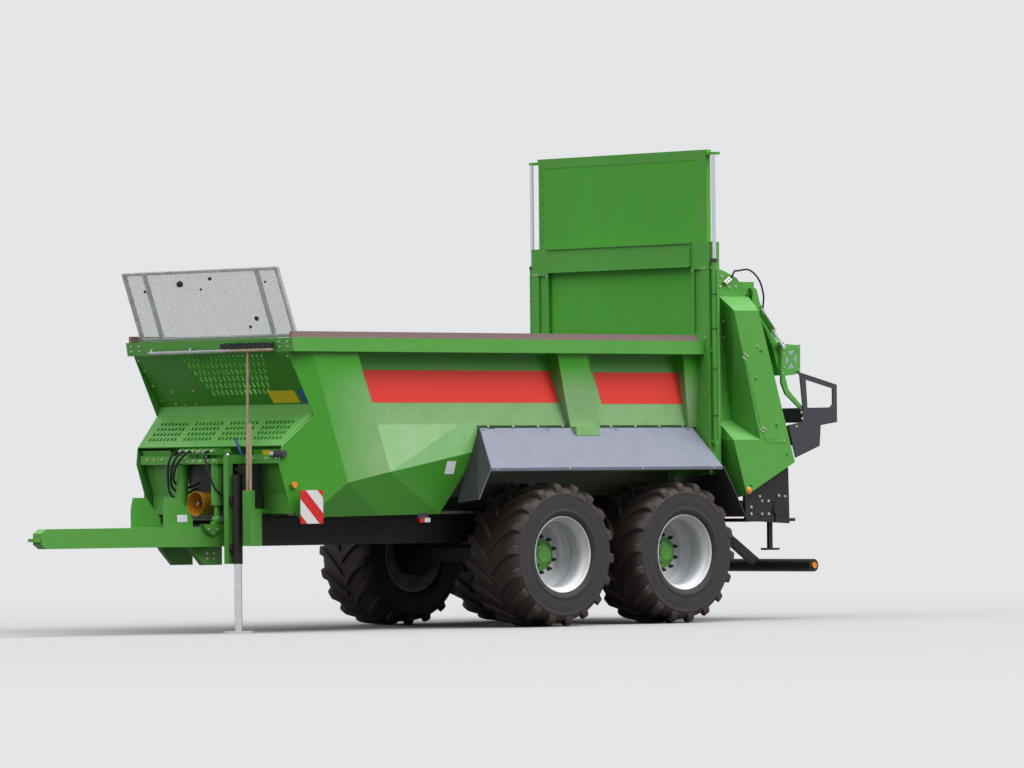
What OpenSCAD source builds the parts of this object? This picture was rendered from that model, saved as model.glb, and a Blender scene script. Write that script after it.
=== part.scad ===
// Twin-axle manure spreader: hopper with scraper floor, lifting gate, two flat beaters and two spreading discs.
// X points forward, Y to the left and Z up; the ground is at Z = 0 and the middle of the length at X = 0.

/* [Hopper] */
// Top of the rim above the ground
rim_top_z = 2705; // [2500:5:2900]
// Height of the rim's box section
rim_h = 125; // [90:5:160]
// Outer face of the rim from the middle plane
rim_y = 1190; // [1120:5:1250]
// Thickness of the hopper sheets
sheet = 8; // [5:1:12]
// Half width of the trough at the top, outside
wall_top_y = 1000; // [960:5:1040]
// Half width of the trough at its widest, outside
wall_mid_y = 1035; // [1010:5:1070]
// Height of the widest place
wall_mid_z = 1900; // [1850:5:1950]
// Half width of the trough at the floor, outside
wall_low_y = 700; // [660:5:705]
// Height where the steep lower wall ends
wall_low_z = 1480; // [1430:5:1520]
// Top of the floor
floor_z = 1240; // [1200:5:1260]
// Height of the boards on the rim
board_h = 59; // [40:1:80]
// Thickness of the boards on the rim
board_t = 35; // [20:1:45]

/* [Gate] */
// Front face of the gate sheet
gate_x = -2843; // [-2850:1:-2840]
// Depth of the gate with its ribs
gate_d = 60; // [50:1:62]
// Half width of the gate
gate_y = 1185; // [1150:5:1195]
// Top of the raised gate
gate_top_z = 4557; // [4540:1:4600]
// Travel of the gate
gate_travel = 830; // [700:10:835]
// Gap between the lowered gate and the floor
gate_floor_gap = 45; // [42:1:60]
// Top of the gate posts
post_top_z = 3666; // [3600:1:3670]
// Diameter of the lifting rods
rod_d = 40; // [30:1:46]
// Outer diameter of the lifting cylinders
barrel_d = 58; // [54:1:60]

/* [Running gear] */
// Outer radius of the tyres
tyre_r = 680; // [640:5:700]
// Width of the tyres
tyre_w = 680; // [600:10:690]
// Distance between the middles of the left and right tyres
track = 2110; // [2080:5:2140]
// Distance between the axles
axle_gap = 1600; // [1500:10:1650]
// Middle of the running gear
bogie_x = -1535; // [-1560:5:-1500]
// Radius of the rim's flange
flange_r = 362; // [350:1:375]
// Width of the steel rims over their flanges
rim_w = 610; // [560:10:620]
// How far the hub stands out from the middle of the wheel
hub_out = 40; // [30:5:60]
// Number of tread lugs on each side of a tyre
lug_count = 18; // [14:1:22]
// Diameter of the wheel stubs
stub_d = 90; // [80:1:100]

/* [Drawbar] */
// Front end of the hitch eye
front_x = 4590; // [4400:10:4700]
// Bore of the hitch eye
eye_bore_d = 50; // [40:1:60]
// Height of the hitch eye's middle
eye_z = 880; // [860:5:900]
// Thickness of the hitch eye
eye_t = 30; // [25:1:45]
// Travel of the parking jack
jack_travel = 420; // [300:10:440]

/* [Spreading unit] */
// Outer face of the side housings
unit_y = 1400; // [1360:5:1420]
// Inner face of the side housings
unit_in_y = 1013; // [1008:1:1030]
// Radius of the lower beater over its teeth
low_beater_r = 340; // [300:5:345]
// Radius of the upper beater over its teeth
top_beater_r = 300; // [260:5:300]
// Radius of the spreading discs
disc_r = 480; // [400:5:485]
// Height of the spreading discs
disc_z = 1090; // [1080:5:1120]

/* [Hidden] */
$fn = 48;
gap = 0.3;
rim_low_z = rim_top_z - rim_h;
axle_xs = [bogie_x + axle_gap / 2, bogie_x - axle_gap / 2];
wheel_y = track / 2;
front_wall_top_x = 2440;
front_wall_fold = [2100, 2110];
unit_front_x = -2955;
barrel_y = 1285;
barrel_x = gate_x - 2;
barrel_top_z = 3469;
barrel_low_z = 1708;
post_front_x = -2801;
post_back_x = -2946;
post_in_y = unit_in_y;
post_out_y = 1252;
post_low_z = 1420;
gate_low_z = floor_z + gate_floor_gap + gate_travel;
gate_rib_h = 57;
gate_rib_pitch = 600;
gate_ear_low_z = gate_top_z - 52;
gate_ear_top_z = gate_ear_low_z + 25;
beam_in_y = 390;
beam_out_y = 500;
beam_low_z = 800;
beam_top_z = 1040;
low_beater = [-3370, 1830];
top_beater = [-3285, 2480];
disc_x = -3600;
disc_y = 500;
hood_pin = [-3330, 3190];
strut_pin = [-3520, 3020];
strut_eye = [-3835, 2665];
strut_y = 1218;
jack_x = 2600;
jack_y = 600;

// Turns a profile drawn in X and Z into a solid between two values of Y
module across(y0, y1) {
  translate([0, y1, 0]) rotate([90, 0, 0]) linear_extrude(y1 - y0) children();
}

// Turns a profile drawn in Y and Z into a solid between two values of X
module along(x0, x1) {
  translate([x0, 0, 0]) rotate([90, 0, 90]) linear_extrude(x1 - x0) children();
}

module box(a, b) {
  translate(a) cube(b - a);
}

module both() {
  children();
  mirror([0, 1, 0]) children();
}

module rod_y(x, z, d, y0, y1) {
  translate([x, y1, z]) rotate([90, 0, 0]) cylinder(d = d, h = y1 - y0);
}

// Sheet between two lines of points, made thick by a shift
module ruled(a, b, shift) {
  for (i = [0:len(a) - 2]) {
    p = [a[i], a[i + 1], b[i], b[i + 1]];
    hull() polyhedron(points = concat(p, [for (q = p) q - shift]), faces = [[0, 1, 2], [3, 4, 5], [5, 6, 7]]);
  }
}

// Outline of the trough's outside on the left, from the rim down to the floor
side_line = [[wall_top_y, rim_low_z], [wall_mid_y, wall_mid_z], [wall_low_y, wall_low_z], [wall_low_y, floor_z - sheet]];

module trough_profile() {
  inner = [for (i = [3:-1:0]) side_line[i] - [sheet, 0]];
  polygon(concat(side_line, inner));
}

// Plane of the forward cheek: it leans in towards the front
function cheek_y(x, z) = 1150 - 0.2 * (x - 2193) + 0.0718 * (z - 2581);

function on_cheek(p) = [p[0], cheek_y(p[0], p[1]), p[1]];

// Lower edge of the side facets, where they fold back in towards the skirt
fold_line = [[2002, 1097, 1318], [1761, 1150, 1377], [1235, 1140, 1470], [281, 1087, 1627], [60, 1074, 1667]];
skirt_line = [[2210, 1034, 1015], [1900, 1000, 1062], [1235, 975, 1068], [448, 940, 1075], [60, 1000, 1560]];
rib_table = [
  // top front, top back, low front, low back (X), low Z front, low Z back, top Y, low Y
  [2192.5, 1632, 1760.5, 1236, 1377.6, 1470.6, 1152, 1146],
  [-888, -1282, -1120, -1511, 1880, 1880, 1150, 1075],
  [-2573, -2790, -2690, -2790, 1880, 1880, 1120, 1070]];

module rib(r) {
  low_in = wall_mid_y - 4;
  hull() polyhedron(points = [[r[0], r[6], rim_low_z], [r[1], r[6], rim_low_z], [r[2], r[7], r[4]], [r[3], r[7], r[5]],
    [r[0], wall_top_y - 4, rim_low_z], [r[1], wall_top_y - 4, rim_low_z], [r[2], low_in, r[4]], [r[3], low_in, r[5]]],
    faces = [[0, 1, 2], [3, 4, 5], [5, 6, 7]]);
}

module hopper_side() {
  color("forestgreen") {
    intersection() {
      along(-2790, front_wall_top_x) trough_profile();
      across(500, rim_y) polygon([[-2790, floor_z - sheet], [-2790, rim_low_z], [front_wall_top_x - 10, rim_low_z],
        [front_wall_fold[0] - 10, front_wall_fold[1]], [front_wall_fold[0] - 10, floor_z - sheet]]);
    }
    for (r = rib_table) rib(r);
  }
}

// Cheek ahead of the first rib, lower side panel behind it, and the skirt that folds back in under both
module side_sheets() {
  y = wall_mid_y + sheet + gap;
  t = [0, sheet, 0];
  color("forestgreen") {
    ruled([on_cheek([2440, rim_low_z]), on_cheek([2143, 1996]), on_cheek([2400, 1770])],
      [on_cheek([2193, rim_low_z]), on_cheek([1984, 1996]), on_cheek([1902, 1770])], t);
    ruled([on_cheek([2400, 1770]), on_cheek([2460, 1717]), on_cheek([2490, 1566]), on_cheek([2354, 1158])],
      [on_cheek([1902, 1770]), on_cheek([1883, 1717]), on_cheek([1829, 1566]), on_cheek([1761, 1377])], t);
    ruled([on_cheek([2354, 1158]), on_cheek([2210, 1015])], [on_cheek([1761, 1377]), on_cheek([2002, 1318])], t);
    ruled([[1391, y, 1908], [281, y, 1908], [60, y, 1908]], [for (i = [2:4]) fold_line[i]], t);
    ruled(fold_line, skirt_line, t);
  }
}

module hopper_sides() {
  both() hopper_side();
}

module side_cladding() {
  both() side_sheets();
}

module floor_pan() {
  color("dimgray") box([-2950, -wall_low_y + sheet, floor_z - sheet], [front_wall_fold[0] - 10, wall_low_y - sheet, floor_z]);
}

module scraper_floor() {
  color("gray") {
    for (y = [-620, -60, 60, 620]) {
      box([-3010, y - 12, floor_z], [2045, y + 12, floor_z + 28]);
      box([-3010, y - 12, 1072], [2045, y + 12, 1100]);
    }
    for (side = [-1, 1], x = [-2780:400:1900]) {
      box([x - 25, side * 340 - 268, floor_z], [x + 25, side * 340 + 268, floor_z + 36]);
    }
    for (x = [-3020, 2050]) rod_y(x, 1160, 70, -691, 691);
    for (x = [-3020, 2050], y = [-620, -60, 60, 620]) {
      rod_y(x, 1160, 143.4, y - 14, y + 14);
    }
  }
}

module front_wall() {
  color("forestgreen") {
    difference() {
      intersection() {
        across(-1130, 1130) polygon([[front_wall_top_x, rim_low_z], front_wall_fold, [front_wall_fold[0], floor_z - sheet],
          [front_wall_fold[0] - 10, floor_z - sheet], [front_wall_fold[0] - 10, front_wall_fold[1]], [front_wall_top_x - 10, rim_low_z]]);
        along(2000, 2500) polygon([[-1091, rim_low_z], [1091, rim_low_z], [1125, 2110], [1087, 1560], [wall_low_y, wall_low_z],
          [wall_low_y, floor_z - sheet], [-wall_low_y, floor_z - sheet], [-wall_low_y, wall_low_z], [-1087, 1560], [-1125, 2110]]);
      }
      for (row = [0:5], k = [0:17 - row]) {
        z = 2535 - row * 62;
        y = 140 + (k - (17 - row) / 2) * 66;
        box([2150, y - 16, z - 24], [2500, y + 16, z + 24]);
      }
    }
  }
}

module front_cover() {
  color("limegreen") difference() {
    intersection() {
      across(-1180, 1180) polygon([[2108, 2100], [2150, 2022], [2462, 1722], [2450, 1712], [2140, 2012], [2102, 2082]]);
      translate([0, 0, 1700]) linear_extrude(450) polygon([[2090, -1123.5], [2090, 1123.5], [2470, 1022.5], [2470, -1022.5]]);
    }
    for (g = [-1.5:1.5], row = [0:3], k = [0:7]) {
      x = 2235 + row * 50;
      y = g * 500 + (k - 3.5) * 52;
      box([x - 17, y - 15, 1600], [x + 17, y + 15, 2100]);
    }
  }
}

module rim_frame() {
  color("forestgreen") {
    both() box([post_front_x + gap, wall_top_y - 15, rim_low_z], [2439, rim_y, rim_top_z]);
    across(-rim_y, rim_y) polygon([[2330, rim_low_z], [front_wall_top_x, rim_low_z], [2460, rim_top_z], [2330, rim_top_z]]);
  }
}

module rim_boards() {
  color("saddlebrown") both() box([-2728, 1170 - board_t, rim_top_z], [2440, 1170, rim_top_z + board_h]);
}

module mesh_guard() {
  color("silver") difference() {
    translate([2325, 0, rim_top_z]) rotate([0, 20, 0]) {
        along(-3, 3) difference() {
          translate([-1085, -20]) square([2170, 710]);
          for (i = [0:18], j = [0:5]) translate([-1045 + i * 110, 32 + j * 108]) square([92, 90]);
        }
        for (y = [-1110, -820, 780, 1075]) box([-18, y, -20], [18, y + 35, 690]);
        for (z = [10, 660]) box([-18, -1110, z], [18, 1110, z + 30]);
    }
    box([2200, -1200, rim_top_z - 60], [2500, 1200, rim_top_z + gap]);
  }
}

module chassis_frame() {
  color("darkgreen") {
    both() box([-3080, beam_in_y, beam_low_z], [2350, beam_out_y, beam_top_z]);
    both() for (x = [1930, 1240, 440, -360, -1160, -1960, -2740]) {
      box([x - 45, beam_in_y, beam_top_z], [x + 45, beam_out_y, 1130]);
    }
    for (x = [1930, 1240, 440, -360, -1160, -1960, -2740, -2890]) {
      box([x - 45, -wall_low_y, 1130], [x + 45, wall_low_y, floor_z - sheet - gap]);
    }
    for (x = [2300, 1000, -600, -1535, -2500, -3030]) {
      box([x - 50, -beam_in_y, beam_low_z + 40], [x + 50, beam_in_y, beam_top_z - 40]);
    }
  }
}

// Uprights, head beam and lower front plates, with the post that holds the jack
module front_frame() {
  plate_x = 2300;
  color("darkgreen") {
    both() box([2230, beam_in_y, beam_top_z + gap], [2350, beam_out_y, 1640]);
    box([2230, -1003, 1560], [2450, 1003, 1640]);
    box([2450, -330, 1560], [2640, 330, 1610]);
    both() across(beam_in_y, beam_in_y + 20) polygon([[2350, 1330], [2450, 1560], [2350, 1560]]);
    both() across(590, 1003) polygon([[2432, 1690], [plate_x, 1274], [plate_x, 1095], [plate_x - 10, 1095], [plate_x - 10, 1276],
      [2420, 1692]]);
    across(beam_in_y + 40, beam_out_y - 10) polygon([[2440, 1640], [2650, 1640], [2650, 640], [2590, 640], [2590, 800],
      [2350 + gap, 810], [2350 + gap, 1030], [2590, 1010], [2590, 1560], [2440, 1560]]);
  }
}

module drawbar() {
  color("darkgreen") difference() {
    union() {
      translate([0, 0, 800]) linear_extrude(180) polygon([[2350 + gap, -370], [2900, -300], [3900, -110], [4440, -60],
        [4440, 60], [3900, 110], [2900, 300], [2350 + gap, 370]]);
      both() across(180, 240) polygon([[2515, 800], [2900, 800], [2871, 766], [2738, 630], [2516, 630]]);
      across(-60, 60) polygon([[4380, 800], [4440, 800], [4500, 840], [4500, 940], [4440, 980], [4380, 980]]);
      translate([front_x - 60, 0, eye_z - eye_t / 2]) cylinder(d = 120, h = eye_t);
      box([4480, -40, eye_z - eye_t / 2], [front_x - 60, 40, eye_z + eye_t / 2]);
      both() box([2530, 215, 960], [2630, 285, 1030]);
      both() across(225, 240) polygon([[3205, 979], [3205, 1150], [3180, 1255], [3031, 1253], [2863, 1065], [2863, 979]]);
      both() across(290, 345) polygon([[2560, 1005], [2826, 1009], [2780, 940], [2705, 904], [2620, 940]]);
      drawbar_cylinders();
    }
    translate([front_x - 60, 0, eye_z - 100]) cylinder(d = eye_bore_d, h = 200);
  }
}

module drawbar_cylinders() {
  both() translate([2577, 250, 0]) {
    translate([0, 0, 1180]) cylinder(d = 110, h = 380 - gap);
    translate([0, 0, 1070]) cylinder(d = 56, h = 112);
    rod_y(0, 1050, 60, -45, 45);
  }
}

module pto_stub() {
  color("silver") {
    translate([2450, 0, 1195]) rotate([0, 90, 0]) cylinder(d = 34.9, h = 150);
    translate([2350 + gap, 0, 1195]) rotate([0, 90, 0]) cylinder(d = 110, h = 99.7);
  }
}

module pto_guard() {
  color("goldenrod") translate([2400, 0, 1195]) rotate([0, 90, 0]) difference() {
    cylinder(d1 = 180, d2 = 230, h = 230);
    translate([0, 0, 6]) cylinder(d1 = 168, d2 = 222, h = 230);
    translate([0, 0, -1]) cylinder(d = 111, h = 20);
  }
}

module front_console() {
  plate_front_x = 2300 + gap;
  color("darkgreen") {
    box([2330, -beam_in_y + gap, beam_top_z + gap], [2350, beam_in_y - gap, 1559]);
    box([2474, 655, 805], [2614, 760, 1144]);
    box([2556, 655, 1144], [2614, 760, 1313]);
    box([plate_front_x, 655, 1100], [2474, 700, 1140]);
    for (i = [0:5]) box([2452, -300 + i * 90, 1645], [2560, -240 + i * 90, 1705]);
    box([2330, -330, 1640.3], [2452, 300, 1700]);
  }
}

module jack_tube() {
  color("black") {
    difference() {
      union() {
        translate([jack_x - 20, jack_y - 60, 640]) cylinder(d = 90, h = 820);
        for (z = [760, 1200]) box([2560, beam_out_y - 10 + gap, z], [2640, 530, z + 60]);
      }
      translate([jack_x - 20, jack_y - 60, 600]) cylinder(d = 72 + 2 * gap, h = 830);
    }
    box([2440, 600, 1160], [2552, 720, 1547]);
    box([2500, 520, 1431], [2552, 620, 1547]);
  }
}

module jack_foot() {
  color("silver") {
    translate([jack_x - 20, jack_y - 60, 20]) cylinder(d = 72, h = 970);
    translate([jack_x - 20, jack_y - 60, 0]) cylinder(d = 300, h = 20);
  }
}

module bogie_springs() {
  color("dimgray") both() {
    across(beam_in_y + 10, beam_out_y - 10) {
      polygon([[axle_xs[1] - 90, 750], [axle_xs[1] - 90, 770], [bogie_x - 500, 770], [bogie_x - 150, 790],
        [bogie_x + 150, 790], [bogie_x + 500, 770], [axle_xs[0] + 90, 770], [axle_xs[0] + 90, 750]]);
      polygon([[bogie_x - 560, 750], [bogie_x - 420, 700], [bogie_x + 420, 700], [bogie_x + 560, 750]]);
    }
    box([bogie_x - 150, beam_in_y - 20, 620], [bogie_x + 150, beam_out_y + 20, 700]);
    box([bogie_x - 150, beam_in_y - 20, 700], [bogie_x + 150, beam_in_y + 10, 800 - gap]);
    box([bogie_x - 150, beam_out_y - 10, 700], [bogie_x + 150, beam_out_y + 20, 800 - gap]);
  }
}

module axles() {
  color("darkgreen") for (x = axle_xs) {
    box([x - 65, -640, tyre_r - 65], [x + 65, 640, tyre_r + 65]);
    both() {
      rod_y(x, tyre_r, 400, 640, 800);
      rod_y(x, tyre_r, stub_d, 800, wheel_y + hub_out - 25 - gap);
      box([x - 60, beam_in_y + 10, tyre_r + 65], [x + 60, beam_out_y - 10, 750 - gap]);
    }
  }
}

// Tyre in its own place: axis along Y, middle at the origin
module tyre() {
  w = tyre_w / 2;
  color("black") {
    rotate([90, 0, 0]) rotate_extrude($fn = 64) polygon([[flange_r - 16, -rim_w / 2 + 43],
      [flange_r + 2 * gap, -rim_w / 2 + 14], [flange_r + 2 * gap, -rim_w / 2 - 2 * gap], [flange_r + 40, -w + 20], [470, -w + 5],
      [560, -w + 12], [625, -w + 55], [645, -w + 130], [652, 0], [645, w - 130], [625, w - 55], [560, w - 12],
      [470, w - 5], [flange_r + 40, w - 20], [flange_r + 2 * gap, rim_w / 2 + 2 * gap], [flange_r + 2 * gap, rim_w / 2 - 14],
      [flange_r - 16, rim_w / 2 - 43]]);
    for (i = [0:lug_count - 1], s = [-1, 1]) {
      rotate([0, (i + s * 0.25) * 360 / lug_count, 0]) translate([0, 0, 630]) linear_extrude(tyre_r - 6.7 - 630)
        polygon([[-25, s * 8], [35, s * 8], [95, s * (w - 40)], [75, s * (w - 10)], [5, s * (w - 10)], [-10, s * (w - 60)]]);
    }
  }
}

// Deep dished steel rim with its hub, outer side towards +Y
module rim() {
  w = rim_w / 2;
  color("silver") {
    rotate([90, 0, 0]) difference() {
      rotate_extrude($fn = 64) {
        polygon([[flange_r, -w], [flange_r, -w + 14], [flange_r - 18, -w + 40], [flange_r - 32, -w + 60], [flange_r - 36, w - 60],
          [flange_r - 18, w - 40], [flange_r, w - 14], [flange_r, w], [flange_r - 14, w], [flange_r - 30, w - 40],
          [flange_r - 46, w - 62], [flange_r - 44, -w + 62], [flange_r - 30, -w + 40], [flange_r - 14, -w]]);
        polygon([[90, 6], [190, 6], [250, 40], [flange_r - 44.5, 60], [flange_r - 44.5, 74], [246, 54], [186, 20], [90, 20]]);
      }
    }
    rotate([90, 0, 0]) difference() {
      translate([0, 0, -hub_out]) cylinder(d = 182, h = 120);
      translate([0, 0, -hub_out + 25]) cylinder(d = stub_d + 2 * gap, h = 200);
    }
  }
}

module at_wheel(i, side) {
  translate([axle_xs[i], side * wheel_y, tyre_r]) mirror([0, side < 0 ? 1 : 0, 0]) children();
}

module tyre_front_left() { at_wheel(0, 1) tyre(); }

module tyre_front_right() { at_wheel(0, -1) tyre(); }

module tyre_rear_left() { at_wheel(1, 1) tyre(); }

module tyre_rear_right() { at_wheel(1, -1) tyre(); }

module rim_front_left() { at_wheel(0, 1) rim(); }

module rim_front_right() { at_wheel(0, -1) rim(); }

module rim_rear_left() { at_wheel(1, 1) rim(); }

module rim_rear_right() { at_wheel(1, -1) rim(); }

module fenders() {
  color("slategray") both() {
    ruled([[-2730, 1080, 1875], [49, 1080, 1875]], [[-2820, 1400, 1500], [200, 1400, 1500]], [0, 0, 8]);
    ruled([[49, 1080, 1875], [200, 1400, 1500]], [[331, 1080, 1174], [362, 1400, 1205]], [8, 0, 0]);
    box([-2820, 1390, 1470], [200, 1400, 1500]);
    for (x = [-2650, -1700, -800, 20]) box([x - 20, 1005, 1832], [x + 20, 1100, 1862]);
  }
}

module mudflaps() {
  color("black") both() {
    across(740, 1400) polygon([[-2914, 1355], [-2962, 1280], [-3121, 1010], [-3131, 1010], [-2972, 1280], [-2924, 1355]]);
    across(post_out_y + 3, 1400) polygon([[-2820.3, 1500], [-2962, 1280], [-3121, 1010], [-3131, 1010], [-2972, 1280], [-2842, 1500]]);
  }
}

module gate_frame() {
  color("forestgreen") {
    both() {
      difference() {
        box([post_back_x, post_in_y, post_low_z], [post_front_x, post_out_y, post_top_z]);
        box([gate_x - gate_d - 6, post_in_y - 1, post_low_z - 1], [gate_x + 6, gate_y + 8, post_top_z + 1]);
        box([-2824, post_in_y + 35, 2780], [post_front_x + 1, 1150, 3400]);
      }
      difference() {
        translate([barrel_x, barrel_y, barrel_low_z]) cylinder(d = barrel_d, h = barrel_top_z - barrel_low_z);
        translate([barrel_x, barrel_y, barrel_low_z + 20]) cylinder(d = rod_d + 1, h = barrel_top_z);
      }
      for (z = [1730, 2600, 3400]) difference() {
        box([barrel_x - 30, post_out_y, z], [barrel_x + 30, barrel_y, z + 30]);
        translate([barrel_x, barrel_y, z - 1]) cylinder(d = barrel_d - 4, h = 40);
      }
    }
    box([-2835, -post_in_y, 3426], [-2775, post_in_y, post_top_z]);
    along(post_front_x, -2790 - gap) difference() {
      polygon([[-post_out_y, rim_low_z], [post_out_y, rim_low_z], [post_out_y, post_low_z], [760, post_low_z], [740, floor_z - 20],
        [-740, floor_z - 20], [-760, post_low_z], [-post_out_y, post_low_z]]);
      polygon(concat([for (p = side_line) p - [sheet, 0]], [for (i = [3:-1:0]) [sheet - side_line[i][0], side_line[i][1]]]));
    }
  }
}

module gate() {
  color("forestgreen") {
    box([gate_x - 6, -gate_y, gate_low_z], [gate_x, gate_y, gate_top_z]);
    ribs_top_z = gate_top_z - gate_rib_h;
    for (z = [gate_low_z, for (k = [3:-1:0]) ribs_top_z - k * gate_rib_pitch]) {
      box([gate_x - gate_d, -gate_y, z], [gate_x - 6, gate_y, z + gate_rib_h]);
    }
    both() {
      box([gate_x - gate_d, gate_y - 60, gate_low_z], [gate_x - 6, gate_y, gate_top_z]);
      box([gate_x - gate_d, gate_y, gate_ear_low_z], [gate_x, barrel_y + 35, gate_ear_top_z]);
      across(gate_y, gate_y + 12) polygon([[gate_x - gate_d, gate_ear_top_z], [gate_x, gate_ear_top_z],
        [gate_x, gate_top_z], [gate_x - gate_d, gate_top_z]]);
    }
  }
}

module gate_rods() {
  low = barrel_low_z + 30 + gate_travel;
  color("silver") both() translate([barrel_x, barrel_y, low]) cylinder(d = rod_d, h = gate_ear_low_z - low);
}

// Bolts that hold the covers on the outside of the unit (X, Z)
unit_bolts = [[-3360, 2620], [-3280, 2350], [-3560, 1900], [-3200, 1320], [-3700, 1620]];

module unit_side() {
  color("forestgreen") {
    across(unit_in_y, 1150) polygon([[unit_front_x, 3141], [-3439, 3145], [-3870, 1534], [-3870, 1260], [-3180, 1200],
      [unit_front_x, 1400]]);
    difference() {
      across(1131, 1150) polygon([[-2975, 3130], [-2979, 3425], [-3112, 3388], [-3282, 3322], [-3370, 3230], [-3400, 3130]]);
      rod_y(hood_pin[0], hood_pin[1], 40 + 2 * gap, 1100, 1200);
    }
    for (p = unit_bolts) rod_y(p[0], p[1], 26, unit_y - 1, unit_y + 14);
    across(1165, 1182) polygon([[-3400, 3040], [-3550, 3050], [-3555, 2995], [-3400, 2960]]);
    rod_y(strut_pin[0], strut_pin[1], 20, 1180, 1245);
    hull() {
      across(1150, 1151) polygon([[-3041, 3141], [-3439, 3145], [-3830, 1760], [-3195, 1940]]);
      across(unit_y - 1, unit_y) polygon([[-2995, 2998], [-3328, 3002], [-3731, 1753], [-3335, 1757]]);
    }
    hull() {
      across(1150, 1151) polygon([[-3000, 1938], [-3780, 1938], [-3870, 1534], [-3170, 1180], [-2985, 1751]]);
      across(unit_y - 1, unit_y) polygon([[-2970, 1753], [-3731, 1753], [-3803, 1534], [-3143, 1220]]);
    }
  }
}

module unit_sides() {
  both() unit_side();
}

module spreader_table() {
  color("dimgray") {
    both() across(1300, 1330) polygon([[-3180, 1216], [-3780, 1481], [-3791, 940], [-3199, 971]]);
    box([-3900, -1300, 960], [-3180, 1300, 990]);
    both() rod_y(-3645, 1087, 166, 1330, 1345);
    both() box([-3700, 1318, 950], [-3590, 1340, 1087]);
    both() translate([disc_x, disc_y, 990]) cylinder(d = 180, h = 70);
    both() box([-3870, 985, 700], [-3820, 1015, 960]);
    both() box([-3940, 960, 680], [-3760, 1040, 700]);
    both() box([-3180, beam_in_y + 60 + gap, 860], [-3080 - gap, beam_out_y, 960]);
  }
}

module beater(p, r, y) {
  color("dimgray") translate([p[0], 0, p[1]]) rotate([90, 0, 0]) {
    translate([0, 0, -y]) cylinder(r = 110, h = 2 * y);
    for (i = [0:17]) {
      translate([0, 0, -y + 50 + i * (2 * y - 100) / 17]) rotate([0, 0, i * 50]) for (k = [0, 180]) rotate([0, 0, k])
        linear_extrude(12, center = true) polygon([[100, -60], [r - 60, -40], [r, -10], [r, 20], [r - 60, 60], [100, 60]]);
    }
    translate([0, 0, -unit_in_y + gap]) cylinder(r = 35, h = 2 * (unit_in_y - gap));
  }
}

module beater_upper() {
  beater(top_beater, top_beater_r, 985);
}

module beater_lower() {
  beater(low_beater, low_beater_r, 985);
}

module disc() {
  color("dimgray") translate([disc_x, disc_y, disc_z]) {
    translate([0, 0, -15]) cylinder(r = disc_r, h = 15);
    translate([0, 0, 1060 + gap - disc_z]) cylinder(r = 60, h = 102);
    for (a = [0:60:300]) rotate([0, 0, a]) translate([80, -8, 0]) cube([disc_r - 85, 10, 75]);
  }
}

module disc_left() { disc(); }

module disc_right() { mirror([0, 1, 0]) disc(); }

module rear_hood() {
  color("forestgreen") {
    rod_y(hood_pin[0], hood_pin[1], 40, -1148, 1148);
    across(-1120, 1120) polygon([[-3310, 3200], [-3340, 3222], [-3545, 3192], [-3850, 2690], [-3838, 2672], [-3812, 2672],
      [-3530, 3150], [-3330, 3172]]);
    box([-3545, -1120, 3188], [-3350, 1120, 3288]);
    across(-1180, 1180) polygon([[-3834, 2379], [-3834, 2692], [-4103, 2676], [-4103, 2640], [-3850, 2640], [-3850, 2379]]);
    both() {
      across(1180, 1192) polygon([[-3845, 2655], [-4100, 2683], [-4097, 2415], [-4018, 2388], [-3834, 2372]]);
      across(1151, 1160) polygon([[-3540, 3220], [-3580, 3095], [-3868, 2620], [-3868, 2385], [-3838, 2385], [-3760, 2640],
        [-3480, 3110], [-3490, 3220]]);
      across(1100, 1156) polygon([[-3530, 3230], [-3570, 3110], [-3550, 3064], [-3500, 3150], [-3470, 3230]]);
      across(1163, 1189) polygon([[-3845, 2400], [-3885, 2395], [-3937, 2240], [-4168, 2040], [-4120, 2040], [-3900, 2200],
        [-3842, 2310]]);
      across(1180, strut_y - 23) polygon([[-3795, 2700], [-3870, 2705], [-3890, 2650], [-3834, 2600]]);
    }
  }
}

module rear_deflector() {
  y0 = 1192 + gap;
  y1 = 1206;
  color("black") {
    both() difference() {
      across(y0, y1) polygon([[-4040, 2420], [-4590, 2292], [-4589, 1925], [-4361, 1894], [-4343, 1692], [-4011, 1578], [-3911, 1895],
        [-4106, 1926], [-4120, 2060], [-4080, 2380]]);
      across(1180, 1220) polygon([[-4160, 2340], [-4530, 2255], [-4530, 2100], [-4480, 2060], [-4180, 2060]]);
    }
    box([-4589, -y0, 1925], [-4560, y0, 2070]);
    box([-4340, -y0, 1700], [-4310, y0, 1894]);
  }
}

module hood_barrels() {
  color("forestgreen") both() strut_frame() difference() {
    union() {
      cylinder(d = 60, h = 280);
      rotate([90, 0, 0]) cylinder(d = 70, h = 40, center = true);
    }
    translate([0, 0, 50]) cylinder(d = 31, h = 400);
    rotate([90, 0, 0]) cylinder(d = 20 + 2 * gap, h = 60, center = true);
  }
}

module hood_rods() {
  reach = norm(strut_eye - strut_pin);
  color("silver") both() strut_frame() {
    union() {
      translate([0, 0, 70]) cylinder(d = 30, h = reach - 85);
      translate([0, 0, reach]) rotate([90, 0, 0]) cylinder(d = 50, h = 32, center = true);
      translate([0, 0, reach]) rotate([90, 0, 0]) translate([0, 0, -20]) cylinder(d = 26, h = 38);
    }
  }
}

module strut_frame() {
  d = strut_eye - strut_pin;
  translate([strut_pin[0], strut_y, strut_pin[1]]) rotate([0, atan2(d[0], d[1]), 0]) children();
}

module underride_guard() {
  color("black") {
    rod_y(-4250, 525, 125, -1200, 1200);
    both() across(beam_in_y, beam_in_y + 60) polygon([[-3080 - gap, 800], [-3080 - gap, 900], [-3820, 860],
      [-4240, 590], [-4230, 500], [-4150, 545], [-3790, 780]]);
  }
}

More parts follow.
